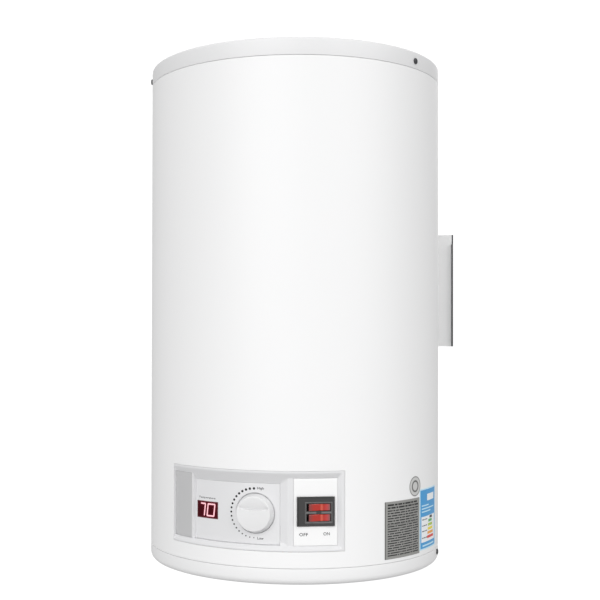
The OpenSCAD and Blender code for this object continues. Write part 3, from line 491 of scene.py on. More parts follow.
# %% The finishes by slot
# Red, green, blue, roughness, metal, grains per metre, relief in millimetres, unevenness of tone.
FINISHES = {
    "white_steel": (0.88, 0.88, 0.882, 0.46, 0, 260, 0.004, 0.006),
    "cap_white": (0.785, 0.785, 0.79, 0.42, 0, 1400, 0.006, 0.01),
    # the caps' white plastic again, painted lighter for the lower cap as painted light
    "cap_white_painted_lighter": (0.85, 0.85, 0.853, 0.42, 0, 1400, 0.006, 0.01),
    "panel_grey": (0.74, 0.74, 0.75, 0.4, 0, 1600, 0.006, 0.012),
    "trim_grey": (0.53, 0.53, 0.535, 0.36, 0, 1800, 0.008, 0.03),
    "plate_white": (0.9, 0.9, 0.9, 0.38, 0, 1600, 0.004, 0.008),
    "knob_white": (0.78, 0.78, 0.785, 0.3, 0, 1300, 0.004, 0.01),
    "display_red": (0.045, 0.002, 0.008, 0.5, 0, 900, 0.001, 0.03),
    "display_led": (0.3, 0.02, 0.03, 0.5, 0, 900, 0.01, 0.03),
    "board_green": (0.02, 0.16, 0.06, 0.4, 0, 500, 0.02, 0.2),
    "switch_black": (0.04, 0.04, 0.042, 0.34, 0, 2200, 0.008, 0.1),
    "rocker_red": (0.44, 0.022, 0.012, 0.14, 0, 700, 0.003, 0.03),
    "screw_dark": (0.1, 0.1, 0.105, 0.38, 0.9, 900, 0.01, 0.2),
    "label_metal": (0.36, 0.36, 0.345, 0.42, 0.35, 1500, 0.004, 0.1),
    "label_print": (0.8, 0.85, 0.9, 0.35, 0, 1200, 0.002, 0.02),
    "seal_metal": (0.62, 0.62, 0.62, 0.36, 0.25, 1500, 0.004, 0.06),
    "bracket_white": (0.95, 0.95, 0.95, 0.4, 0, 300, 0.006, 0.01),
    "zinc_steel": (0.62, 0.63, 0.64, 0.34, 1, 260, 0.01, 0.25),
    "enamel_blue": (0.03, 0.1, 0.22, 0.18, 0, 300, 0.01, 0.25),
    "foam_cream": (0.82, 0.72, 0.46, 0.9, 0, 320, 0.5, 0.25),
    "pipe_steel": (0.58, 0.58, 0.57, 0.3, 1, 900, 0.01, 0.2),
    "collar_blue": (0.02, 0.13, 0.55, 0.35, 0, 1500, 0.01, 0.06),
    "collar_red": (0.62, 0.03, 0.025, 0.35, 0, 1500, 0.01, 0.06),
    "tank_plastic": (0.75, 0.76, 0.74, 0.5, 0, 1100, 0.01, 0.04),
    "gasket_rubber": (0.02, 0.02, 0.02, 0.75, 0, 1300, 0.03, 0.3),
    "element_steel": (0.5, 0.49, 0.47, 0.3, 1, 700, 0.01, 0.3),
    "anode_metal": (0.52, 0.52, 0.5, 0.62, 0.8, 420, 0.08, 0.3),
    "brass": (0.72, 0.5, 0.18, 0.32, 1, 600, 0.01, 0.15),
    "copper": (0.78, 0.34, 0.18, 0.34, 1, 500, 0.01, 0.2),
    "black_plastic": (0.03, 0.03, 0.032, 0.45, 0, 1500, 0.015, 0.15),
    "wire_brown": (0.2, 0.07, 0.03, 0.45, 0, 1200, 0.01, 0.1),
    "wire_blue": (0.02, 0.1, 0.5, 0.45, 0, 1200, 0.01, 0.1),
    "wire_grey": (0.25, 0.25, 0.26, 0.5, 0, 1200, 0.01, 0.1),
    "ink": (0.008, 0.008, 0.009, 0.7, 0, 2500, 0.003, 0.3),
}
EXTRAS = {
    "display_red": dict(shine=0.1, paint=attribute_paint),
    "switch_black": dict(paint=attribute_paint),
    # the rockers carry painted shade and painted highlights
    "rocker_red": dict(coat=0.5, paint=rocker_shade_and_highlight),
    "label_metal": dict(stretch=(1, 1, 0.08), paint=attribute_paint),
    "label_print": dict(paint=attribute_paint),
    "seal_metal": dict(paint=attribute_paint),
    # the bracket's bent-back ends carry painted shade
    "bracket_white": dict(paint=bracket_flange_shade),
    "enamel_blue": dict(coat=0.5),
    "pipe_steel": dict(stretch=(1, 1, 0.1)),
}
LOOK = {name: finish(name, (red, green, blue), *rest[:4], tone=rest[4], **EXTRAS.get(name, {}))
        for name, (red, green, blue, *rest) in FINISHES.items()}


def glowing(name, colour, strength):
    """A finish that also gives light of its own colour."""
    material = finish(name, colour, 0.4, relief=0.0)
    surface = material.node_tree.nodes["Principled BSDF"]
    surface.inputs["Emission Color"].default_value = (*colour, 1)
    surface.inputs["Emission Strength"].default_value = strength
    return material


LOOK["figure_glow"] = glowing("figure_glow", (0.90, 0.50, 0.55), 0.35)
print(len(LOOK), "finishes")

# %% [markdown]
# ## The drum's shell
# The shell is one painted sheet, rolled and folded in at both ends so that a lip slides into each cap. It
# is a grid of angles and heights: the outline gives radius and height, and cells are left out where the
# control panel and the two support legs pass through. Solidify gives the sheet its wall, and the folded
# edges keep a small radius, because a sharp fold would crack the paint.

# %% The painted shell
shell_t, cap_t = 0.8, 2.0       # walls of the sheet and of the caps
lip_r, lip_h = body_r - cap_t - 0.3, 14.0
fold_r = 0.5
leg_x, leg_slot, leg_top = 118.75, 3.3, 75.4    # middle, width and half height of a leg's slot


def painted_shell():
    """Outline of the folded sheet swept round the drum, with cells left out for the panel and the legs."""
    upright = lines(low_seam + 1.5, high_seam - 1.5,
                    [panel_low - plate_gap, panel_high + plate_gap, -leg_top, leg_top], 16)
    fold = rounded([[lip_r, low_seam - lip_h], [lip_r, low_seam], [body_r, low_seam], [body_r, upright[0]]],
                   [0.6, fold_r], 4)[:-1]
    outline = np.concatenate([fold, np.stack([np.full(len(upright), body_r), upright], -1),
                              fold[::-1] * [1, -1] + [0, low_seam + high_seam]])
    half = panel_half + plate_gap / body_r
    slot_at = math.pi - math.asin(leg_x / body_r)
    slot_half = leg_slot / 2 / (body_r * math.sqrt(1 - (leg_x / body_r) ** 2))
    marks = np.array([half, slot_at - slot_half, slot_at + slot_half])
    angle = np.unique(np.concatenate([np.linspace(-math.pi, math.pi, 257)[:-1], marks, -marks]))
    points = on_drum(angle[None], outline[:, 1, None], outline[:, 0, None])
    middle_z = (outline[1:, 1] + outline[:-1, 1])[:, None] / 2
    turn = (angle + np.append(angle[1:], angle[0] + 2 * math.pi))[None] / 2
    size = np.abs(turn)
    window = (size < half) & (middle_z > panel_low - plate_gap) & (middle_z < panel_high + plate_gap)
    slots = (np.abs(size - slot_at) < slot_half) & (np.abs(middle_z) < leg_top)
    faces = grid_faces(len(outline), len(angle), loop_columns=True)[~(window | slots).ravel()]
    used, numbers = np.unique(faces, return_inverse=True)
    return points.reshape(-1, 3)[used], numbers.reshape(faces.shape)


shell = piece("painted_shell", painted_shell(), "white_steel", stands_for=["outer_shell"])
wall = shell.modifiers.new("wall", "SOLIDIFY")
wall.thickness = shell_t * MM
wall.offset = -1

# %% [markdown]
# ## The two caps
# Each cap is moulded in white plastic, a little duller than the paint. An outline of radius and height is
# turned about the axis, from the outer face round the rim to the inner one, and both ends of the outline
# lie on the axis, where a pole point closes the surface. The pipes, the gland and the button leave through
# holes in the lower cap, and those are cut with a Boolean, because a turned outline has none.

# %% The top cap
top_edge_r = 4.0
top_rim = 16.0          # width of the raised rim round the cap's flat top
top_step = 1.2


def top_cap():
    """Outer face from the middle out, a shallow step, the rounded edge, the side, and back inside."""
    return turned(rounded([[0, top_z - top_step], [body_r - top_rim - 4, top_z - top_step],
                           [body_r - top_rim, top_z], [body_r, top_z], [body_r, high_cap_edge],
                           [body_r - cap_t, high_cap_edge], [body_r - cap_t, top_z - cap_t - 0.6],
                           [0, top_z - cap_t - 0.6]],
                          [6, 4, top_edge_r, 0.5, 0.5, 2, 0]), 256)


piece("top_cap_moulding", top_cap(), "cap_white", stands_for=["top_cap"])

# %% The bottom cap and its holes
bottom_edge_r = 10.0
service_r = float(np.diff(span("service_cover"), axis=0)[0, 0]) / 2
service_floor = bottom_z + 2.4
pipe_low, pipe_high = span("inlet_pipe")
pipe_x, pipe_y = middle("inlet_pipe")[:2]
gland_at, reset_at = middle("cable_gland")[:2], middle("reset_button")[:2]


def bottom_cap():
    """The same for the lower cap, whose middle is sunk for the service cover."""
    ledge = service_r - 9
    return turned(rounded([[ledge, service_floor], [service_r + 0.1, service_floor],
                           [service_r + 0.1, bottom_z], [body_r, bottom_z], [body_r, low_cap_edge],
                           [body_r - cap_t, low_cap_edge], [body_r - cap_t, bottom_z + cap_t],
                           [service_r + cap_t, bottom_z + cap_t], [service_r + cap_t, service_floor + cap_t],
                           [ledge, service_floor + cap_t], [ledge, service_floor]],
                          [0.3, 0.8, bottom_edge_r, 0.5, 0.5, bottom_edge_r - cap_t, 0.5, 1, 0])[:-1], 256,
                  ends="loop")


def cut_out(thing, surface, crease=32):
    """Cuts a closed surface out of a piece with a Boolean and keeps the result in its mesh."""
    tool = piece("cutter", surface, "cap_white")
    cut = thing.modifiers.new("opening", "BOOLEAN")
    cut.operation, cut.solver, cut.object = "DIFFERENCE", "EXACT", tool
    with bpy.context.temp_override(object=thing, active_object=thing):
        bpy.ops.object.modifier_apply(modifier=cut.name)
    bpy.data.objects.remove(tool)
    del made["cutter"]
    thing.data.set_sharp_from_angle(angle=math.radians(crease))


def upright_drill(x, y, radius, low, high):
    """A closed round bar to cut an upright hole with."""
    return turned(np.array([[0.01, low], [radius, low], [radius, high], [0.01, high]]), 48, (x, y))


lower_cap = piece("bottom_cap_moulding", bottom_cap(), "cap_white_painted_lighter", stands_for=["bottom_cap"],
                  slot="cap_white")
pipe_hole, gland_hole, reset_hole = 13.0, 8.2, 4.7
for x, y, radius in ((pipe_x, pipe_y, pipe_hole), (-pipe_x, pipe_y, pipe_hole),
                     (*gland_at, gland_hole), (*reset_at, reset_hole)):
    cut_out(lower_cap, upright_drill(x, y, radius, bottom_z - 3, bottom_z + 5))
print("lower cap now has", len(lower_cap.data.polygons), "faces")

# %% [markdown]
# ## Screws
# A pan head is a low dome, and its cross is a dip in the same surface: on a polar grid the height is the
# dome less a smooth trench along each of two lines. One function places it on any spot, looking any way.

# %% Screws on the caps


def pan_head(place, head_r, head_h, shank_r, shank_len, rings=18, around=96):
    """Dome h(1 - 0.45 (r/R)^4) with a cross trench, then the head's side and the shank, closed by poles."""
    share = np.linspace(0.02, 1, rings)[:, None]
    angle = full_turn(around)[None]
    x, y = share * head_r * np.cos(angle), share * head_r * np.sin(angle)
    bars = [1 - ease(np.abs(a), 0.10 * head_r, 0.17 * head_r) for a in (x, y)]
    trench = np.maximum(*bars) * (1 - ease(share * head_r, 0.45 * head_r, 0.62 * head_r))
    top = head_h * (1 - 0.45 * share ** 4) - 0.45 * head_h * trench
    dome = np.stack([x, y, top], -1)
    ring = np.stack([np.cos(angle[0]), np.sin(angle[0])], -1)
    side = [np.concatenate([ring * r, np.full((around, 1), z)], 1) for r, z in
            ((head_r, 0.15), (head_r - 0.15, 0), (shank_r, 0), (shank_r, -shank_len + 0.6),
             (shank_r * 0.5, -shank_len))]
    return placed(stacked_loops(np.concatenate([dome, np.array(side)])), place)


def cap_screws(z, angles):
    """The screws of one cap, looking outwards from the drum."""
    return joined(*(pan_head(on_radial(angle, body_r + 0.05, z), 4.3, 2.4, 1.9, 7) for angle in angles))


for cap, front_pair in (("top", 67.5), ("bottom", 91.0)):
    node = f"{cap}_cap_screws"
    spots = [math.radians(a) for a in (front_pair, -front_pair, 180)]
    piece(f"{cap}_cap_screw_set", cap_screws(middle(node)[2], spots), "screw_dark", stands_for=[node])

# %% [markdown]
# ## The control panel's frame
# The frame is one grey moulding set into the shell. Its floor lies at two depths: shallow under the end
# trim and the switch, deeper under the dial. Everything on its face can be seen from the front, so it is a
# height field: each sloping wall is a plane, the floor is the lowest allowed radius, and a smooth maximum
# joins them with the small fillets that a mould leaves. Narrow pockets round the plates give real gaps.

# %% The frame as a height field
step = 0.2
bevel_slope, sill_slope = 1.72, 1.13
right_bevel, mullion_slope = 8.4, 11.5
plates = [(low * trim_r, high * trim_r, heights, radius) for (low, high), heights, radius in
          ((trim_angles, trim_heights, trim_r), (main_angles, main_heights, main_r),
           (switch_angles, switch_heights, trim_r))]
(trim_left, trim_right), (main_left, main_right), (switch_left, switch_right) = [row[:2] for row in plates]
recess_low = trim_heights[0] - 2 * step - plate_gap
recess_top = trim_heights[1] + step + plate_gap + bevel_slope * (face_r - trim_r)
panel_side = panel_half * trim_r
clear = plate_gap + step


def edge_drop(distance, radius):
    """How far a rounded edge has fallen at a distance in from it: e - sqrt(e^2 - (e - d)^2)."""
    inside = np.clip(radius - distance, 0, radius)
    return radius - np.sqrt(radius ** 2 - inside ** 2)


def pocket_depth(u, z, left, right, low, high):
    """Depth of a plate's pocket: it falls steeply from its outline, which keeps a gap round the plate."""
    inside = np.minimum(np.minimum(u - left, right - u), np.minimum(z - low, high - z)) + plate_gap
    return np.clip(inside * 20, 0, plate_t + 0.1)


def frame_face(u, z):
    """Radius of the frame's face at arc length u and height z."""
    right = trim_r + (u - switch_right - clear) * (face_r + 3 - trim_r) / right_bevel
    left = face_r - (u - trim_left + clear) * 12
    top = face_r - (recess_top - z) / bevel_slope
    sill = trim_r + (recess_low - z) / sill_slope
    deep_left = trim_r - (u - main_left + clear + 1.0) * 4.4
    deep_right = main_r + (u - main_right - clear) * (trim_r - main_r) / (mullion_slope - clear)
    deep_low = trim_r - (z - recess_low) * 14
    deep = np.maximum(main_r, smooth_max(smooth_max(deep_left, deep_right, 0.5), deep_low, 0.2))
    floor = smooth_min(deep, trim_r + 0 * u, 0.5)
    walls = smooth_max(smooth_max(left, right, 0.5), smooth_max(top, sill, 0.5), 0.8)
    face = smooth_min(smooth_max(floor, walls, 0.25), face_r + 0 * u, 0.4)
    rim = np.minimum(np.minimum(u + panel_side, panel_side - u), np.minimum(z - panel_low, panel_high - z))
    face = face - edge_drop(rim, 0.5)
    for left, right, heights, radius in plates:
        depth = pocket_depth(u, z, left, right, *heights)
        face = np.where(depth > 0, np.minimum(face, radius - depth), face)
    return face


def frame_cells(u, z):
    """The frame is open behind the dial's plate and behind the switch's."""
    def inside(left, right, low, high):
        return (u > left) & (u < right) & (z > low) & (z < high)
    return ~(inside(main_left + 2, main_right - 2, main_heights[0] + 2, main_heights[1] - 2)
             | inside(switch_left + 2, switch_right - 2, switch_heights[0] + 4, switch_heights[1] - 4))


def panel_frame():
    """Front and back of the frame over one grid, whose lines gather at every wall."""
    gaps = [edge for left, right, _, _ in plates for edge in (left - plate_gap, right + plate_gap)]
    us = lines(-panel_side, panel_side,
               gaps + [-panel_side, panel_side, main_left - clear - 1, main_right + mullion_slope,
                       main_left + 2, main_right - 2, switch_left + 2, switch_right - 2,
                       switch_right + clear + 4.7], 3)
    heights = [trim_heights[0] - plate_gap, trim_heights[1] + plate_gap, main_heights[1] + plate_gap]
    vs = lines(panel_low, panel_high,
               heights + [panel_low, panel_high, recess_low, recess_top,
                          recess_low - sill_slope * (face_r - trim_r), main_heights[0] + 2,
                          main_heights[1] - 2, switch_heights[0] + 4, switch_heights[1] - 4], 3)
    return slab(us, vs, frame_face, frame_back_r, lambda u, z, r: on_drum(u / trim_r, z, r), frame_cells)


piece("panel_bezel", panel_frame(), "panel_grey", stands_for=["panel_frame"],
      crease=28)

# %% [markdown]
# ## The three plates
# Each plate is a thin curved sheet with softened edges. Its surface is a stack of loops: up the outer wall,
# over the rounded edge, and inwards across the face. The end trim's loops shrink to a point. The other two
# plates end at a round well and at a square opening, so their loops run from that hole to the rim, with as
# many points on the inner loop as on the outer one.

# %% Loops for plates


def filled(outline, longest=4.0):
    """A closed outline with points added along its long edges, so that it can bend with the drum."""
    out = []
    for a, b in zip(outline, np.roll(outline, -1, axis=0)):
        count = max(1, int(math.ceil(np.hypot(*(b - a)) / longest)))
        out.append(a + (b - a) * np.linspace(0, 1, count, endpoint=False)[:, None])
    return np.concatenate(out)


def loop_on_drum(plan, centre_angle, centre_z, radius):
    """A loop of plan points, arc length and height about a centre, laid on the drum at a radius."""
    return np.stack([centre_angle + plan[:, 0] / radius, np.broadcast_to(radius, len(plan)) * 1.0,
                     centre_z + plan[:, 1]], -1)


def loop_on_plane(plan, centre_angle, centre_z, distance):
    """The same on a flat seat at a distance from the axis, as angle, radius and height."""
    return np.stack([centre_angle + np.arctan2(plan[:, 0], distance), np.hypot(plan[:, 0], distance),
                     centre_z + plan[:, 1]], -1)


def inset(plan, amount):
    """A plan outline drawn in by an amount on all sides of its box."""
    middle = (plan.max(0) + plan.min(0)) / 2
    size = plan.max(0) - plan.min(0)
    return middle + (plan - middle) * (1 - 2 * amount / size)


def from_polar(loops):
    """Loops of angle, radius and height as points."""
    loops = np.array(loops)
    return on_drum(loops[..., 0], loops[..., 2], loops[..., 1])


def quarter_round(radius, count):
    """Steps over a rounded edge, from the wall to the face: how far in from the wall and down from the face."""
    turn = np.linspace(0, math.pi / 2, count)
    return list(zip(radius * (1 - np.cos(turn)), radius * (1 - np.sin(turn))))


def rim_loops(plan, centre_angle, centre_z, radius, thickness, edge=0.45):
    """Loops up the outer wall of a plate and over its rounded edge."""
    return [loop_on_drum(plan, centre_angle, centre_z, radius - thickness)] + [
        loop_on_drum(inset(plan, along), centre_angle, centre_z, radius - depth)
        for along, depth in quarter_round(edge, 5)]


def blend_loops(outer, inner, count):
    """Loops between two loops, without either of them."""
    return [outer + (inner - outer) * share for share in np.linspace(0, 1, count + 2)[1:-1]]


print("edge of a plate has", len(rim_loops(rounded_box(10, 10, 1), 0, 0, 200, 2)), "loops")

# %% The end trim
trim_w, trim_h = trim_right - trim_left, trim_heights[1] - trim_heights[0]


def end_trim():
    """A plate whose corner at the lower left is rounder than the others, its loops drawn in to the middle."""
    x, y = trim_w / 2, trim_h / 2
    plan = filled(rounded([[x, 0], [x, y], [-x, y], [-x, -y], [x, -y], [x, 0]], [0.8, 0.8, 4.5, 0.8])[:-1])
    angle, z = sum(trim_angles) / 2, sum(trim_heights) / 2
    rim = rim_loops(plan, angle, z, trim_r, plate_t)
    middle = loop_on_drum(plan * 0.02, angle, z, trim_r)
    back = loop_on_drum(plan * 0.02, angle, z, trim_r - plate_t)
    return stacked_loops(from_polar([back] + blend_loops(back, rim[0], 6) + rim
                                    + blend_loops(rim[-1], middle, 8) + [middle]))


piece("trim_plate", end_trim(), "trim_grey", stands_for=["end_trim"])

# %% The dial's plate with its round well
well_r = 28.4
well_floor = main_r - 3
spindle_hole = 5.3
boss_r, boss_back = well_r + 2.6, well_floor - 3


def dial_plate():
    """Loops from the spindle's hole over the well's floor and wall, across the face and round to the back."""
    corners = np.array([[(a - knob_angle) * main_r, z - knob_z] for a, z in
                        ((main_angles[1], main_heights[1]), (main_angles[0], main_heights[1]),
                         (main_angles[0], main_heights[0]), (main_angles[1], main_heights[0]))])
    start = (corners[0] + corners[3]) / 2
    plan = filled(rounded([start, *corners, start], [0.8] * 4)[:-1], 3.0)
    way = plan / np.hypot(plan[:, 0], plan[:, 1])[:, None]

    def well(radius, distance):
        return loop_on_plane(way * radius, knob_angle, knob_z, distance)

    def on_face(radius, depth):
        loop = well(radius, well_floor)
        flat = way[:, 0] * radius
        loop[:, 0] = knob_angle + np.arcsin(flat / (main_r - depth))
        loop[:, 1] = main_r - depth
        return loop
    rim = rim_loops(plan, knob_angle, knob_z, main_r, plate_t)
    lip = [on_face(well_r + along, depth) for along, depth in quarter_round(0.35, 4)]
    loops = [well(spindle_hole, boss_back), well(spindle_hole, well_floor), well(well_r - 0.3, well_floor),
             well(well_r, well_floor + 0.3), *lip, *blend_loops(lip[-1], rim[-1], 26), *rim[::-1],
             on_face(boss_r, plate_t), well(boss_r, boss_back)]
    return stacked_loops(from_polar(loops), "loop")


def window_block(clearance, low_r, high_r):
    """A curved block over the display window, wider by a clearance."""
    us = np.linspace(window_angles[0] - clearance / main_r, window_angles[1] + clearance / main_r, 13)
    vs = np.array([window_heights[0] - clearance, window_heights[1] + clearance])
    return slab(us, vs, high_r, low_r, on_drum)


dial = piece("dial_plate", dial_plate(), "panel_grey", stands_for=["main_plate"])
cut_out(dial, window_block(0.1, main_r - 6, main_r + 3))
print("dial plate has", len(dial.data.polygons), "faces after its window is cut")

# %% The switch's plate with its opening
pad_w, pad_h = 53.0, 41.0
hole_w, hole_h = 46.4, 36.4
seat_depth = 1.6
switch_z = joint_spot("upper_rocker_tilt")[2] / 2 + joint_spot("lower_rocker_tilt")[2] / 2 + 0.9


def switch_plate():
    """Loops from the square opening over the flat seat, up to the face, out to the rim and round the back."""
    width = switch_right - switch_left
    height = switch_heights[1] - switch_heights[0]
    rise = sum(switch_heights) / 2 - switch_z
    plan = rounded_box(width, height, 0.8, 14) + [0, rise]
    hole, pad = rounded_box(hole_w, hole_h, 0.8, 14), rounded_box(pad_w, pad_h, 0.8, 14)
    seat = trim_r - seat_depth
    rim = rim_loops(plan, switch_angle, switch_z, trim_r, plate_t)
    lip = []
    for along, depth in quarter_round(0.3, 4):
        loop = loop_on_plane(pad + np.sign(pad) * along, switch_angle, switch_z, seat)
        loop[:, 1] = trim_r - depth
        lip.append(loop)
    back_hole = loop_on_plane(hole, switch_angle, switch_z, seat)
    back_hole[:, 1] = trim_r - plate_t
    return stacked_loops(from_polar([back_hole, loop_on_plane(hole, switch_angle, switch_z, seat),
                                     loop_on_plane(pad, switch_angle, switch_z, seat), *lip,
                                     *blend_loops(lip[-1], rim[-1], 6), *rim[::-1]]), "loop")


piece("switch_cover_plate", switch_plate(), "plate_white", stands_for=["switch_plate"])

# %% [markdown]
# ## The display
# Behind a tinted window stands a two-figure display made of glowing segments. The window is a thin curved
# pane that fills its opening. The figures lie on the pane as flat rounded bars: each bar is a slab whose
# ends are half circles, sheared by seven degrees as such displays are. Their light also tints the window
# round them, so the pane carries a painted glow that fades with the distance to the nearest bar.

# %% Segments of the figures
window_angle, window_z = sum(window_angles) / 2, sum(window_heights) / 2
window_w = (window_angles[1] - window_angles[0]) * main_r
window_h = window_heights[1] - window_heights[0]
stroke, figure_h, lean = 2.0, 18.6, math.tan(math.radians(7))


def bars(left, right, names):
    """Ends (x0, y0, x1, y1) of the named segments of one figure: a is the top, then clockwise, g the middle."""
    x0, x1, top, gap = left + stroke / 2, right - stroke / 2, (figure_h - stroke) / 2, 0.45
    ends = {"a": (x0 + gap, top, x1 - gap, top), "b": (x1, top - gap, x1, gap),
            "c": (x1, -gap, x1, gap - top), "d": (x0 + gap, -top, x1 - gap, -top),
            "e": (x0, -gap, x0, gap - top), "f": (x0, top - gap, x0, gap), "g": (x0, 0, x1, 0)}
    return [ends[name] for name in names]


lit = np.array(bars(-13.4, -3.4, "abc") + bars(-0.4, 13.6, "abcdef"))
lit[:, [0, 2]] += lit[:, [1, 3]] * lean


def bar_distance(x, y):
    """Distance from each point to the nearest bar's middle line, one row of the table at a time."""
    best = np.full(np.broadcast(x, y).shape, 99.0)
    for x0, y0, x1, y1 in lit:
        dx, dy = x1 - x0, y1 - y0
        along = np.clip(((x - x0) * dx + (y - y0) * dy) / (dx * dx + dy * dy), 0, 1)
        best = np.minimum(best, np.hypot(x - x0 - along * dx, y - y0 - along * dy))
    return best


def painted(thing, colours):
    """Paints one colour on each face of a piece; faces past the end of the table keep the last one."""
    count = len(thing.data.polygons)
    colours = np.concatenate([colours, np.repeat(colours[-1:], max(0, count - len(colours)), 0)])[:count]
    sides = np.empty(count, int)
    thing.data.polygons.foreach_get("loop_total", sides)
    layer = thing.data.color_attributes.new("paint", "FLOAT_COLOR", "CORNER")
    rows = np.concatenate([np.repeat(colours, sides, 0), np.ones((sides.sum(), 1))], 1)
    layer.data.foreach_set("color", rows.astype(np.float32).ravel())


def pane_grid():
    """Grid lines of the window, close enough for a smooth glow."""
    return np.linspace(-window_w / 2, window_w / 2, 76), np.linspace(-window_h / 2, window_h / 2, 49)


def pane():
    """The pane's front sits a hair proud of the plate, as a pressed-in window does."""
    us, vs = pane_grid()
    return slab(us, vs, main_r + 0.1, main_r - plate_t,
                lambda u, z, r: on_drum(window_angle + u / main_r, window_z + z, r))


def pane_colours():
    """Deep maroon, redder near a bar as painted glow: c = base + glow * exp(-(d / 1.6)^1.1), and a painted
    highlight along the rim.
    """
    u, v = cell_middles(*pane_grid())
    glow = np.exp(-(np.maximum(bar_distance(u, v) - stroke * 0.4, 0) / 1.6) ** 1.1)[..., None]
    # painted highlight along the window's edge
    rim = np.exp(-np.minimum(window_w / 2 - np.abs(u), window_h / 2 - np.abs(v)) / 0.55)[..., None]
    colour = np.array([0.050, 0.0, 0.003]) + glow * [0.10, 0.006, 0.014] + rim * [0.24, 0.13, 0.14]
    return colour.reshape(-1, 3)


window = piece("display_window_pane", pane(), "display_red", stands_for=["display_window"])
painted(window, pane_colours())

# %% The glowing bars


def light_bar(x0, y0, x1, y1, around=10):
    """One bar: a capsule outline stacked as three loops, the last one drawn in, which rounds its edge."""
    turn = math.atan2(y1 - y0, x1 - x0)
    ends = []
    for cx, cy, start in ((x1, y1, -math.pi / 2), (x0, y0, math.pi / 2)):
        swing = turn + start + np.linspace(0, math.pi, around)
        ends.append(np.stack([cx + 0 * swing, cy + 0 * swing, np.cos(swing), np.sin(swing)], -1))
    ends = np.concatenate(ends)
    split = np.linspace(0, 1, 6, endpoint=False)[:, None]
    sides = [ends[:around], ends[around - 1] + split[1:] * (ends[around] - ends[around - 1]),
             ends[around:], ends[-1] + split[1:] * (ends[0] - ends[-1])]
    for row, normal in ((1, ends[around]), (3, ends[0])):
        sides[row][:, 2:] = normal[2:]
    ends = np.concatenate(sides)
    loops = []
    for radius, lift in ((stroke / 2, 0.105), (stroke / 2, 0.13), (stroke / 2 - 0.06, 0.15), (0.02, 0.15)):
        plan = ends[:, :2] + ends[:, 2:] * radius
        loops.append(loop_on_drum(plan, window_angle, window_z, main_r + lift))
    return stacked_loops(from_polar(loops))


piece("display_figures", joined(*(light_bar(*row) for row in lit)), "figure_glow")
print(len(lit), "bars are lit")

# %% [markdown]
# ## Printed marks
# The dial's scale, the words beside it and the words under the switch are printed on the plates. The dots
# are thin discs whose size falls with the temperature. The words are set in the built-in face, turned to
# flat meshes and bent onto the drum: each vertex keeps its height, and its distance along becomes an arc.

# %% Dots of the scale
dot_count, scale_r = 19, 34.2


def scale_dots():
    """Nineteen discs on a half circle, from the top round to the left and the bottom."""
    parts, swing = [], full_turn(24)
    for share in np.linspace(0, 1, dot_count):
        at = math.radians(90 + 180 * share)
        radius = (3.6 - 2.0 * share ** 1.4) / 2
        plan = np.stack([scale_r * math.cos(at) + radius * np.cos(swing),
                         scale_r * math.sin(at) + radius * np.sin(swing)], -1)
        loops = [loop_on_drum(plan, knob_angle - 1.6 / main_r, knob_z, main_r + lift)
                 for lift in (-0.02, 0.06)]
        parts.append(stacked_loops(from_polar(loops)))
    return joined(*parts)


piece("scale_dots", scale_dots(), "ink")

# %% Words


def words(name, text, angle, z, radius, width, height):
    """A word as wide and as tall as given, centred on a spot of the drum, bent and a little raised."""
    curve = bpy.data.curves.new(name, "FONT")
    curve.body, curve.size, curve.resolution_u, curve.offset = text, 1.0, 3, 0.012
    maker = linked(name, curve)
    bpy.context.view_layer.update()
    mesh = bpy.data.meshes.new_from_object(maker)
    bpy.data.objects.remove(maker)
    mesh.name = name
    co = vertex_table(mesh)
    low, high = co.min(0), co.max(0)
    x, y = ((co[:, :2] - low[:2]) / (high - low)[:2] - 0.5).T * [[width], [height]]
    mesh.vertices.foreach_set("co", (on_drum(angle + x / radius, z + y, radius + 0.05) * MM).ravel())
    mesh.materials.append(LOOK["ink"])
    mesh.update()
    thing = linked(name, mesh)
    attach(thing, "case")
    made[name] = len(mesh.polygons)
    return thing


for row in (("word_high", "High", knob_angle + 7.9 / main_r, knob_z + 34.3, main_r, 9.7, 4.4),
            ("word_low", "Low", knob_angle + 7.9 / main_r, knob_z - 34.6, main_r, 9.0, 3.5),
            ("word_temperature", "Temperature", window_angle - 0.6 / main_r, window_z + 16.7, main_r,
             30.0, 3.2),
            ("word_off", "OFF", switch_angle - 17 / trim_r, switch_z - 31.6, trim_r, 12, 4.4),
            ("word_on", "ON", switch_angle + 15 / trim_r, switch_z - 30.9, trim_r, 9, 4.4)):
    words(*row)
print("five words on the plates")

# %% [markdown]
# ## The temperature knob
# The knob is one moulding: a round body with a scoop for the thumb in the upper half of its face. Seen
# from the front, the scoop's lower edge is an arc. On a polar grid the height at each point is the face's
# height less a scoop that is deepest beside that edge and runs out at the rim. The side tapers towards the
# front, as a mould needs, and underneath are a ring-shaped hollow and the spindle's bore.

# %% The knob as a polar height field
knob_r = float(np.diff(span("temperature_knob"), axis=0)[0, 2]) / 2
knob_h, knob_face_r, scoop = 12.9, knob_r - 2.6, 5.0
edge_rise, edge_bend = knob_r * 0.17, 90    # the scoop's edge: height above the middle and radius
wall_in, hub_r, hollow_h = knob_r - 3, 7, 6.3
bore, bore_h = 3.1, 9.5


def knob_top(x, y):
    """Height h - c (1 - sqrt(1 - q^2)) in the scoop, with q = 1 at its curved edge and 0 at the rim.

    The edge lies at e(x) = m + R - sqrt(R^2 - x^2) above the middle. Below the middle the face falls off by
    b t^1.6 towards the rim."""
    edge = edge_rise + edge_bend - np.sqrt(edge_bend ** 2 - x ** 2)
    reach = np.maximum(np.sqrt(np.maximum(knob_face_r ** 2 - x ** 2, 0)) - edge, 0.5)
    past = np.clip((y - edge) / reach, 0, 1)
    wall = ease(y - edge, 0, 0.8)
    dip = scoop * wall * (1 - np.sqrt(1 - 0.995 * (1 - past) ** 2)) * np.clip(reach / 9, 0, 1)
    return knob_h - dip - 1.4 * np.clip((-y - 5) / 20, 0, 1) ** 1.6


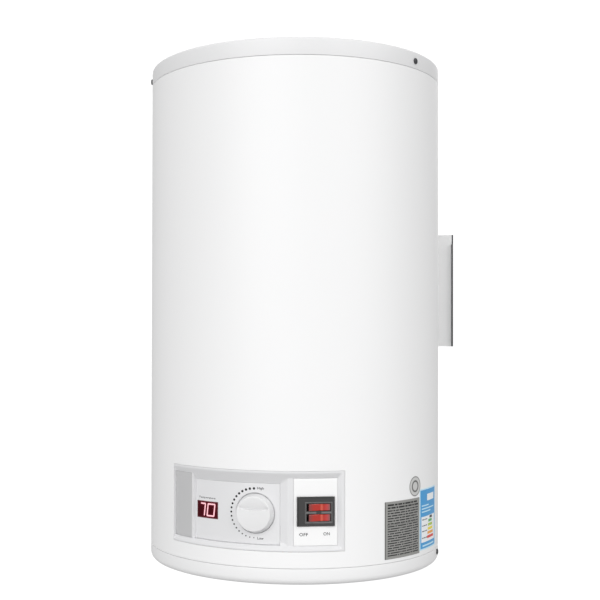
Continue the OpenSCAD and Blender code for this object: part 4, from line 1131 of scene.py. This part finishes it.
def knob():
    """Rings over the top, the rounded rim, the side, and the hollow underside with its bore."""
    angle = full_turn(288)
    cos, sin = np.cos(angle), np.sin(angle)
    loops, soft = [], 1.5
    inner = np.concatenate([np.linspace(0.25, knob_face_r - soft, 80),
                            knob_face_r - soft + soft * np.sin(np.linspace(0.2, math.pi / 2, 8))])
    for radius in inner:
        height = knob_top(radius * cos, radius * sin) - edge_drop(knob_face_r - radius, soft)
        loops.append(np.stack([radius * cos, radius * sin, height], -1))
    under = ((knob_r, 4.0), (knob_r, 3.6), (knob_r, 0.5), (knob_r - 0.15, 0.15), (knob_r - 0.5, 0),
             (wall_in, 0), (wall_in, hollow_h), (hub_r, hollow_h), (hub_r, 0), (bore, 0), (bore, bore_h))
    for radius, height in under:
        loops.append(np.stack([radius * cos, radius * sin, height + 0 * cos], -1))
    return placed(stacked_loops(np.array(loops)), on_radial(knob_angle, knob_back, knob_z))


piece("dial_knob", knob(), "knob_white", body="knob", stands_for=["temperature_knob"])

# %% [markdown]
# ## The double switch
# The switch snaps into its plate from the front. Its black frame has sloping edges, a fine raised line
# round each rocker's opening, and a deep cavity under each rocker. The red rockers are shallow Vs that
# rock on pins. Each is drawn level about its pin and then turned to its rest position.

# %% The black frame
seat_r = trim_r - seat_depth + 0.05
switch_w, switch_h, switch_rise, switch_slope = 52.6, 40.6, 5.2, 2.6
body_w, body_h, body_deep = 46.0, 36.0, 22.0
rocker_x, rocker_drop = 3.4, -0.9
rocker_pitch = abs(joint_spot("upper_rocker_tilt")[2] - joint_spot("lower_rocker_tilt")[2])
cavity_w, cavity_h, cavity_floor = 33.2, 10.1, -12.0
rim_w, rim_h = cavity_w + 5.0, rocker_pitch + cavity_h + 5.0    # the fine line round both openings
switch_spot = on_radial(switch_angle, seat_r, switch_z)


def box_inside(x, y, cx, cy, width, height):
    """How far a point lies inside a box, negative outside."""
    return np.minimum(width / 2 - np.abs(x - cx), height / 2 - np.abs(y - cy))


def under_openings(y):
    """How far a point lies under the lower opening."""
    return rocker_drop - y - (rocker_pitch + cavity_h) / 2


def switch_face(x, y):
    """Sloping edges, a sunk field, a rim round the two openings, and the two cavities."""
    height = np.minimum(switch_rise, switch_rise - switch_slope + box_inside(x, y, 0, 0, switch_w, switch_h))
    height = height - edge_drop(np.maximum(box_inside(x, y, 0, 0, switch_w, switch_h), 0), 0.4)
    around = box_inside(x, y, rocker_x, rocker_drop, rim_w, rim_h)
    height = height - 0.55 * ease(around, 0.0, 0.35) + 0.55 * ease(around, 0.9, 1.3)
    height = height - 0.5 * ease(under_openings(y), 0.5, 2.6) * ease(around, 0.9, 1.3)
    for sign in (-1, 1):
        opening = box_inside(x, y, rocker_x, rocker_drop + sign * rocker_pitch / 2, cavity_w, cavity_h)
        height = np.where(opening > 0, np.maximum(cavity_floor, height - 200 * opening), height)
    return height


def switch_back(x, y):
    """Flat behind the flange, and the deep body within it."""
    return np.where(box_inside(x, y, 0, 0, body_w, body_h) > -0.001, -body_deep, 0.0)


def switch_grid():
    """Grid lines that gather at the openings and at the lines round them."""
    def mirrored(centre, *distances):
        return [centre + sign * distance for distance in distances for sign in (-1, 1)]
    marks_x = mirrored(0, switch_w / 2, body_w / 2, switch_w / 2 - switch_slope)
    marks_y = mirrored(0, switch_h / 2, body_h / 2, switch_h / 2 - switch_slope)
    marks_x += mirrored(rocker_x, cavity_w / 2, rim_w / 2, rim_w / 2 - 1.1)
    marks_y += mirrored(rocker_drop, (rocker_pitch - cavity_h) / 2, (rocker_pitch + cavity_h) / 2, rim_h / 2,
                        rim_h / 2 - 1.1)
    return lines(-switch_w / 2, switch_w / 2, marks_x, 2.5), lines(-switch_h / 2, switch_h / 2, marks_y, 2.5)


def switch_highlights_and_shade():
    """Black, with painted highlights on the line round the openings, on the band below them and on the bar
    between, and painted shade that darkens the sloping edges a little and the cavities to near black.
    """
    x, y = cell_middles(*switch_grid())
    around = box_inside(x, y, rocker_x, rocker_drop, rim_w, rim_h)
    height = switch_face(x, y)
    # painted shade: faces below the top of the frame, the sloping edges, are darker
    grey = np.where(height > switch_rise - 0.6, 0.045, 0.030)
    # painted highlights on the line round the openings, the band below them and the bar between
    grey = np.where((around > 0.0) & (around < 1.3), 0.15, grey)
    grey = np.where((around > 1.3) & (under_openings(y) > 0.3), 0.19, grey)
    grey = np.where((np.abs(y - rocker_drop) < 1.0) & (np.abs(x - rocker_x) > 4.5) & (around > 1.8), 0.16, grey)
    # painted shade: the cavities under the rockers are near black
    return np.where(height < 0, 0.008, grey).reshape(-1, 1) * np.array([1.0, 0.98, 0.98])


switch_body = piece("switch_frame", slab(*switch_grid(), switch_face, switch_back, switch_spot),
                    "switch_black", stands_for=["switch_housing"])
# the frame's painted highlights and painted shade
painted(switch_body, np.concatenate([switch_highlights_and_shade(), [[0.03, 0.03, 0.03]]]))

# %% The rockers
rocker_len, rocker_w, rocker_mid, rocker_tilt = 30.4, 9.4, 7.7, math.radians(7)
pivot_depth = -3.0


def rocker(side):
    """A shallow V with rounded edges over a keel, and its two pins, turned by the tilt about the pin."""
    half = rocker_len / 2
    end = rocker_mid + half * math.tan(rocker_tilt)

    def top(x, y):
        inside = box_inside(x, y, 0, 0, rocker_len, rocker_w)
        return rocker_mid + smooth_max(np.abs(x) * math.tan(rocker_tilt), 0 * x, 0.12) - edge_drop(inside, 0.7)

    def keel(x, y):
        return np.interp(np.abs(x), [0, 5, 11, half], [-6, -6, -1, end - 3])
    us = lines(-half, half, [-half, half, 0, -5, 5, -11, 11], 1.5)
    vs = lines(-rocker_w / 2, rocker_w / 2, [-rocker_w / 2, rocker_w / 2], 1.5)

    def turn(x, y, z):
        cos, sin = math.cos(rocker_tilt), math.sin(rocker_tilt)
        return switch_spot(rocker_x + x * cos + z * sin, rocker_drop + side * rocker_pitch / 2 + y,
                           pivot_depth - x * sin + z * cos)
    swing = full_turn(32)
    pin = stacked_loops(np.stack([turn(1.5 * np.cos(swing), y + 0 * swing, 1.5 * np.sin(swing))
                                  for y in (-6.05, -5.0, 5.0, 6.05)]))
    return joined(slab(us, vs, top, keel, turn), pin)


for sign, name in ((1, "upper"), (-1, "lower")):
    surface = rocker(sign)
    away = surface[0] - switch_spot(rocker_x, 0, 0)
    along = away @ (switch_spot(1.0, 0, 0) - switch_spot(0.0, 0, 0)) / rocker_len + 0.5
    piece(f"{name}_rocker_cap", surface, "rocker_red", body=f"{name}_rocker",
          stands_for=[f"rocker_{name}"], uv=np.stack([along, 0 * along], -1))

# %% [markdown]
# ## Labels
# The labels are printed films stuck to the shell, so each is a thin curved sheet. Its grid lines run along
# the edges of the printed blocks, and each cell takes one colour, which keeps the print crisp. What is
# printed is generic: rows of dashes where small text would be, and plain bars for an efficiency scale.

# %% A printed sheet
film_lift, film_t = 0.03, 0.25


def printed_sheet(name, node, blocks, ground, look):
    """A film over a CAD label, printed with blocks (x0, y0, x1, y1, colour) in shares of its own size."""
    _, angles, heights = polar_span(node)
    width, height = (angles[1] - angles[0]), heights[1] - heights[0]
    marks = np.array([block[:4] for block in blocks])
    us = np.unique(np.round(np.concatenate([np.linspace(0, 1, 25), marks[:, 0], marks[:, 2]]), 5))
    vs = np.unique(np.round(np.concatenate([np.linspace(0, 1, 9), marks[:, 1], marks[:, 3]]), 5))
    radius = body_r + film_lift
    surface = slab(us, vs, radius + film_t, radius,
                   lambda u, z, r: on_drum(angles[0] + u * width, heights[0] + z * height, r))
    u, v = cell_middles(us, vs)
    colours = np.broadcast_to(ground, (*u.shape, 3)).copy()
    for x0, y0, x1, y1, colour in blocks:
        colours[(u > x0) & (u < x1) & (v > y0) & (v < y1)] = colour
    film = piece(name, surface, look, stands_for=[node])
    painted(film, np.concatenate([colours.reshape(-1, 3), [ground]]))


def text_rows(x0, x1, tops, tall, colour, breaks):
    """Rows of dashes: a row's dash lengths step through a short repeating pattern, as words do."""
    blocks = []
    for row, top in enumerate(tops):
        x, word = x0, row
        while x < x1 - 0.04:
            long = breaks[word % len(breaks)]
            blocks.append((x, top - tall, min(x + long, x1), top, colour))
            x, word = x + long + 0.018, word + 1
    return blocks


dark_ink = (0.03, 0.03, 0.03)
rating = text_rows(0.07, 0.95, [0.955, 0.905], 0.030, dark_ink, (0.16, 0.07, 0.11, 0.05))
rating += text_rows(0.07, 0.94, np.arange(0.85, 0.60, -0.045), 0.022, dark_ink, (0.12, 0.05, 0.08, 0.15))
rating += text_rows(0.07, 0.95, np.arange(0.575, 0.05, -0.042), 0.020, dark_ink, (0.17, 0.05, 0.24, 0.03, 0.11))
rating += [(0.0, 0.0, 0.025, 1.0, (0.16, 0.16, 0.155)), (0.05, 0.588, 0.95, 0.593, dark_ink)]
printed_sheet("rating_plate_film", "rating_label", rating, (0.34, 0.34, 0.325), "label_metal")

# %% The efficiency label's bars
blue, pale, white = (0.05, 0.33, 0.68), (0.55, 0.80, 0.93), (0.88, 0.90, 0.91)
energy = [(0.03, 0.02, 0.97, 0.98, blue), (0.08, 0.12, 0.92, 0.54, white), (0.40, 0.79, 0.86, 0.90, white),
          (0.10, 0.66, 0.86, 0.68, pale), (0.10, 0.61, 0.62, 0.63, pale), (0.10, 0.71, 0.50, 0.73, pale),
          (0.14, 0.05, 0.86, 0.075, pale), (0.56, 0.49, 0.74, 0.53, dark_ink)]
for number, colour in enumerate([(0.10, 0.42, 0.12), (0.42, 0.58, 0.05), (0.85, 0.70, 0.05), (0.85, 0.36, 0.06),
                                 (0.72, 0.05, 0.04)]):
    low = 0.43 - 0.066 * number
    energy.append((0.48 - 0.02 * number, low, 0.72 + 0.03 * number, low + 0.045, colour))
energy += text_rows(0.12, 0.40, (0.50, 0.40, 0.31, 0.20), 0.018, (0.10, 0.12, 0.14), (0.10, 0.07))
printed_sheet("efficiency_film", "efficiency_label", energy, pale, "label_print")

# %% The round seal
_, seal_angles, seal_heights = polar_span("seal_sticker")


def seal():
    """A disc on the drum with two fine raised rings, as loops from its edge to its middle."""
    radius = (seal_heights[1] - seal_heights[0]) / 2
    angle, z = sum(seal_angles) / 2, sum(seal_heights) / 2
    swing = full_turn(96)
    ring = np.stack([np.cos(swing), np.sin(swing)], -1)
    loops = [loop_on_drum(ring * radius, angle, z, body_r + film_lift)]
    for distance in np.concatenate([[radius], np.linspace(radius - 0.1, 0.3, 60)]):
        relief = sum(0.05 * np.exp(-((distance - radius * share) / 0.4) ** 2) for share in (0.86, 0.55))
        loops.append(loop_on_drum(ring * distance, angle, z, body_r + film_lift + film_t - 0.05 + relief))
    return stacked_loops(from_polar(loops))


seal_disc = piece("seal_film", seal(), "seal_metal", stands_for=["seal_sticker"])
share = np.linspace(1, 0, 61)[:, None]
dark = np.maximum(np.exp(-((share - 0.90) / 0.035) ** 4), np.exp(-((share - 0.48) / 0.09) ** 4))
painted(seal_disc, np.repeat(np.array([[0.66, 0.66, 0.65]]) * (1 - 0.82 * dark), 96, 0))

# %% [markdown]
# ## The underside
# Two threaded pipes leave the lower cap through coloured collars, blue for cold and red for hot. A pipe
# thread is a ridge that climbs one pitch per turn, so the radius of the pipe's loops follows height and
# angle together. A cover, a cable gland and a reset button complete the underside.

# %% Threaded pipes
pitch, bore_r = 1.814, 8.0
plain_r = (pipe_high[0] - pipe_low[0]) / 2 - 0.5
thread_top = pipe_low[2] + 20


def threaded_pipe(x):
    """Radius R - t (1 + cos(2 pi (z / p - a / 2 pi))) / 2, fading out at both ends, then the bore."""
    angle = full_turn(72)
    z = np.concatenate([np.arange(pipe_low[2], thread_top, pitch / 8), [thread_top, pipe_high[2]]])[:, None]
    ridge = (1 + np.cos(2 * math.pi * (z / pitch) - angle)) / 2
    body = plain_r + 0.45 - 1.0 * (1 - ridge)
    radius = np.where(z < thread_top, body, plain_r)
    radius = radius - 0.9 * (1 - ease(z, pipe_low[2], pipe_low[2] + 1.2))
    bore = np.full((2, 72), bore_r)
    radius = np.concatenate([radius, bore])
    z = np.concatenate([z, [[pipe_high[2]], [pipe_low[2]]]])
    return stacked_loops(about((x, pipe_y), radius, angle, z), "loop")


def collar(x):
    """A flat ring with a soft edge under the cap and a neck through it."""
    low, neck = span("inlet_collar")[0][2], plain_r + 2.8
    return turned(rounded([[plain_r + 0.1, low + 1], [plain_r + 0.1, low], [18, low], [18, bottom_z - 0.1],
                           [neck, bottom_z - 0.1], [neck, bottom_z + 5], [plain_r + 0.1, bottom_z + 5],
                           [plain_r + 0.1, low + 1]], [0.4, 1.2, 0.3, 0, 0.4, 0])[:-1], 96, (x, pipe_y), "loop")


for name, x, tint in (("inlet", pipe_x, "blue"), ("outlet", -pipe_x, "red")):
    piece(f"{name}_pipe_threaded", threaded_pipe(x), "pipe_steel", stands_for=[f"{name}_pipe"])
    piece(f"{name}_pipe_collar", collar(x), f"collar_{tint}", stands_for=[f"{name}_collar"])

# %% Cable gland, service cover and reset button


def hexagon(angle, across):
    """Radius of a hexagon at an angle: half the width across flats over the cosine from the flat's middle."""
    return across / 2 / np.cos((angle + math.pi / 6) % (math.pi / 3) - math.pi / 6)


def gland():
    """A domed nut, a hexagon and a threaded neck, with the cable's way down the middle."""
    angle = full_turn(96)
    loops = [(4.6, -9.0), (6.0, -9.0), (7.4, -8.3), (8.6, -6.6), (9.4, -5.0), (hexagon(angle, 21.0), -5.0),
             (hexagon(angle, 22.0), -4.5), (hexagon(angle, 22.0), -0.5), (hexagon(angle, 21.4), -0.1),
             (8.0, -0.1), (8.0, 20.0), (4.6, 20.0)]
    return stacked_loops(np.array([about(gland_at, r, angle, bottom_z + z) for r, z in loops]), "loop")


piece("cable_gland_body", gland(), "black_plastic", stands_for=["cable_gland"])
cover = piece("service_lid", turned(rounded([[0, bottom_z + 0.2], [service_r, bottom_z + 0.2],
                                             [service_r, bottom_z + 2.3], [0, bottom_z + 2.3]],
                                            [0.8, 0.2]), 192), "cap_white",
              stands_for=["service_cover"])
lid_screw_r = service_r - 4.6
spots = [(lid_screw_r * math.cos(math.radians(turn)), axis_y + lid_screw_r * math.sin(math.radians(turn)))
         for turn in range(45, 360, 90)]
for x, y in spots:
    cut_out(cover, upright_drill(x, y, 2.2, bottom_z - 2, bottom_z + 6))
    cut_out(lower_cap, upright_drill(x, y, 1.7, bottom_z - 2, bottom_z + 8))


def hanging(x, y, z):
    """A place function that looks straight down from a spot."""
    return lambda px, py, pz: np.stack([x + px, y - py, z - pz], -1)


piece("service_lid_screw_set", joined(*(pan_head(hanging(x, y, bottom_z + 0.15), 3.6, 1.8, 1.65, 8)
                                        for x, y in spots)),
      "screw_dark", stands_for=["service_cover_screws"])
reset_r = 4.0
piece("reset_plunger", turned(rounded([[0, bottom_z + 0.3], [reset_r, bottom_z + 0.3],
                                       [reset_r, bottom_z + 4.6], [reset_r + 1.6, bottom_z + 4.6],
                                       [reset_r + 1.6, bottom_z + 5.9], [reset_r, bottom_z + 5.9],
                                       [reset_r, bottom_z + 9.4], [0, bottom_z + 9.4]],
                                      [0.7, 0, 0.2, 0.2, 0, 0.2]), 64, reset_at),
      "collar_red", body="reset", stands_for=["reset_button"])

# %% [markdown]
# ## The parts inside
# Everything inside the drum keeps its shape from the design: the enamelled tank in its foam, the flange
# with its elements and anode, the thermostat and the wiring. Each gets the finish of its material.

# %% Finishes for the design's own parts
shown = 0
for part in frame["record"]["subparts"]:
    thing = frame["nodes"][part["node"]]
    if thing.hide_render:
        continue
    thing.data.materials.clear()
    thing.data.materials.append(LOOK[part["material_slot"]])
    shown += 1
print(shown, "parts of the design are shown as they are")

# %% [markdown]
# ## Floor, light and camera
# The heater hangs in a plain white studio. The walls and the floor look white to the camera, but they
# light the object more softly than that. Two large soft lamps stand left and right of the camera, which
# shades the drum evenly from its middle towards both sides, and a third one lights its back. The floor
# lets the camera look through it from below, so that the underside can be seen.

# %% A floor and a backdrop of light


def studio_light(tree, surface, seen, given):
    """White for the camera, and a softer grey for everything that the surface lights."""
    ray = add(tree, "ShaderNodeLightPath").outputs["Is Camera Ray"]
    mix = add(tree, "ShaderNodeMix", ((0, ray), (2, given), (3, seen)))
    tree.links.new(mix.outputs[0], surface.inputs["Strength"])


white_seen, light_given = 1.1, 0.5
bpy.ops.mesh.primitive_plane_add(size=60, location=(0, 0, -1.3))
floor = bpy.context.object
floor.name = "studio_floor"
pale = bpy.data.materials.new("studio_floor")
pale.use_nodes = True
tree = pale.node_tree
tree.nodes.clear()
shine = add(tree, "ShaderNodeEmission")
facing, see_through = add(tree, "ShaderNodeNewGeometry"), add(tree, "ShaderNodeBsdfTransparent")
either = add(tree, "ShaderNodeMixShader", ((0, facing.outputs["Backfacing"]), (1, shine.outputs[0]),
                                           (2, see_through.outputs[0])))
add(tree, "ShaderNodeOutputMaterial", ((0, either.outputs[0]),))
studio_light(tree, shine, white_seen, light_given)
floor.data.materials.append(pale)
world = bpy.data.worlds.new("studio")
bpy.context.scene.world = world
world.use_nodes = True
background = world.node_tree.nodes["Background"]
studio_light(world.node_tree, background, white_seen, light_given)
background.inputs["Color"].default_value = (1, 1, 1, 1)

# %% Three soft lamps and the camera
view_turn, view_distance, view_height = math.radians(16.5), 1.699, -0.0815


def lamp(name, turn, height, strength, spread):
    """A sun that shines towards the drum's axis from a side turn and a height angle, in degrees."""
    data = bpy.data.lights.new(name, "SUN")
    data.energy, data.angle = strength, math.radians(spread)
    thing = linked(name, data)
    thing.rotation_euler = (math.radians(90 - height), 0, math.radians(turn))


for name, turn, strength in (("lamp_left", -8.5, 1.55), ("lamp_right", 66.5, 0.92), ("lamp_back", 190, 0.7)):
    lamp(name, turn, 25, strength, 50)
camera_data = bpy.data.cameras.new("camera")
camera_data.lens, camera_data.sensor_width = 64.2, 36
camera_data.shift_x, camera_data.shift_y = 0.0702, 0.043
camera = linked("camera", camera_data)
camera.location = (view_distance * math.sin(view_turn), axis_y * MM - view_distance * math.cos(view_turn),
                   view_height)
camera.rotation_euler = (math.radians(90.59), math.radians(-0.12), view_turn + math.radians(1.95))
bpy.context.scene.camera = camera
bpy.context.scene.view_settings.view_transform = "Standard"

# %% Faces of the finished model
print("faces in all", sum(made.values()))
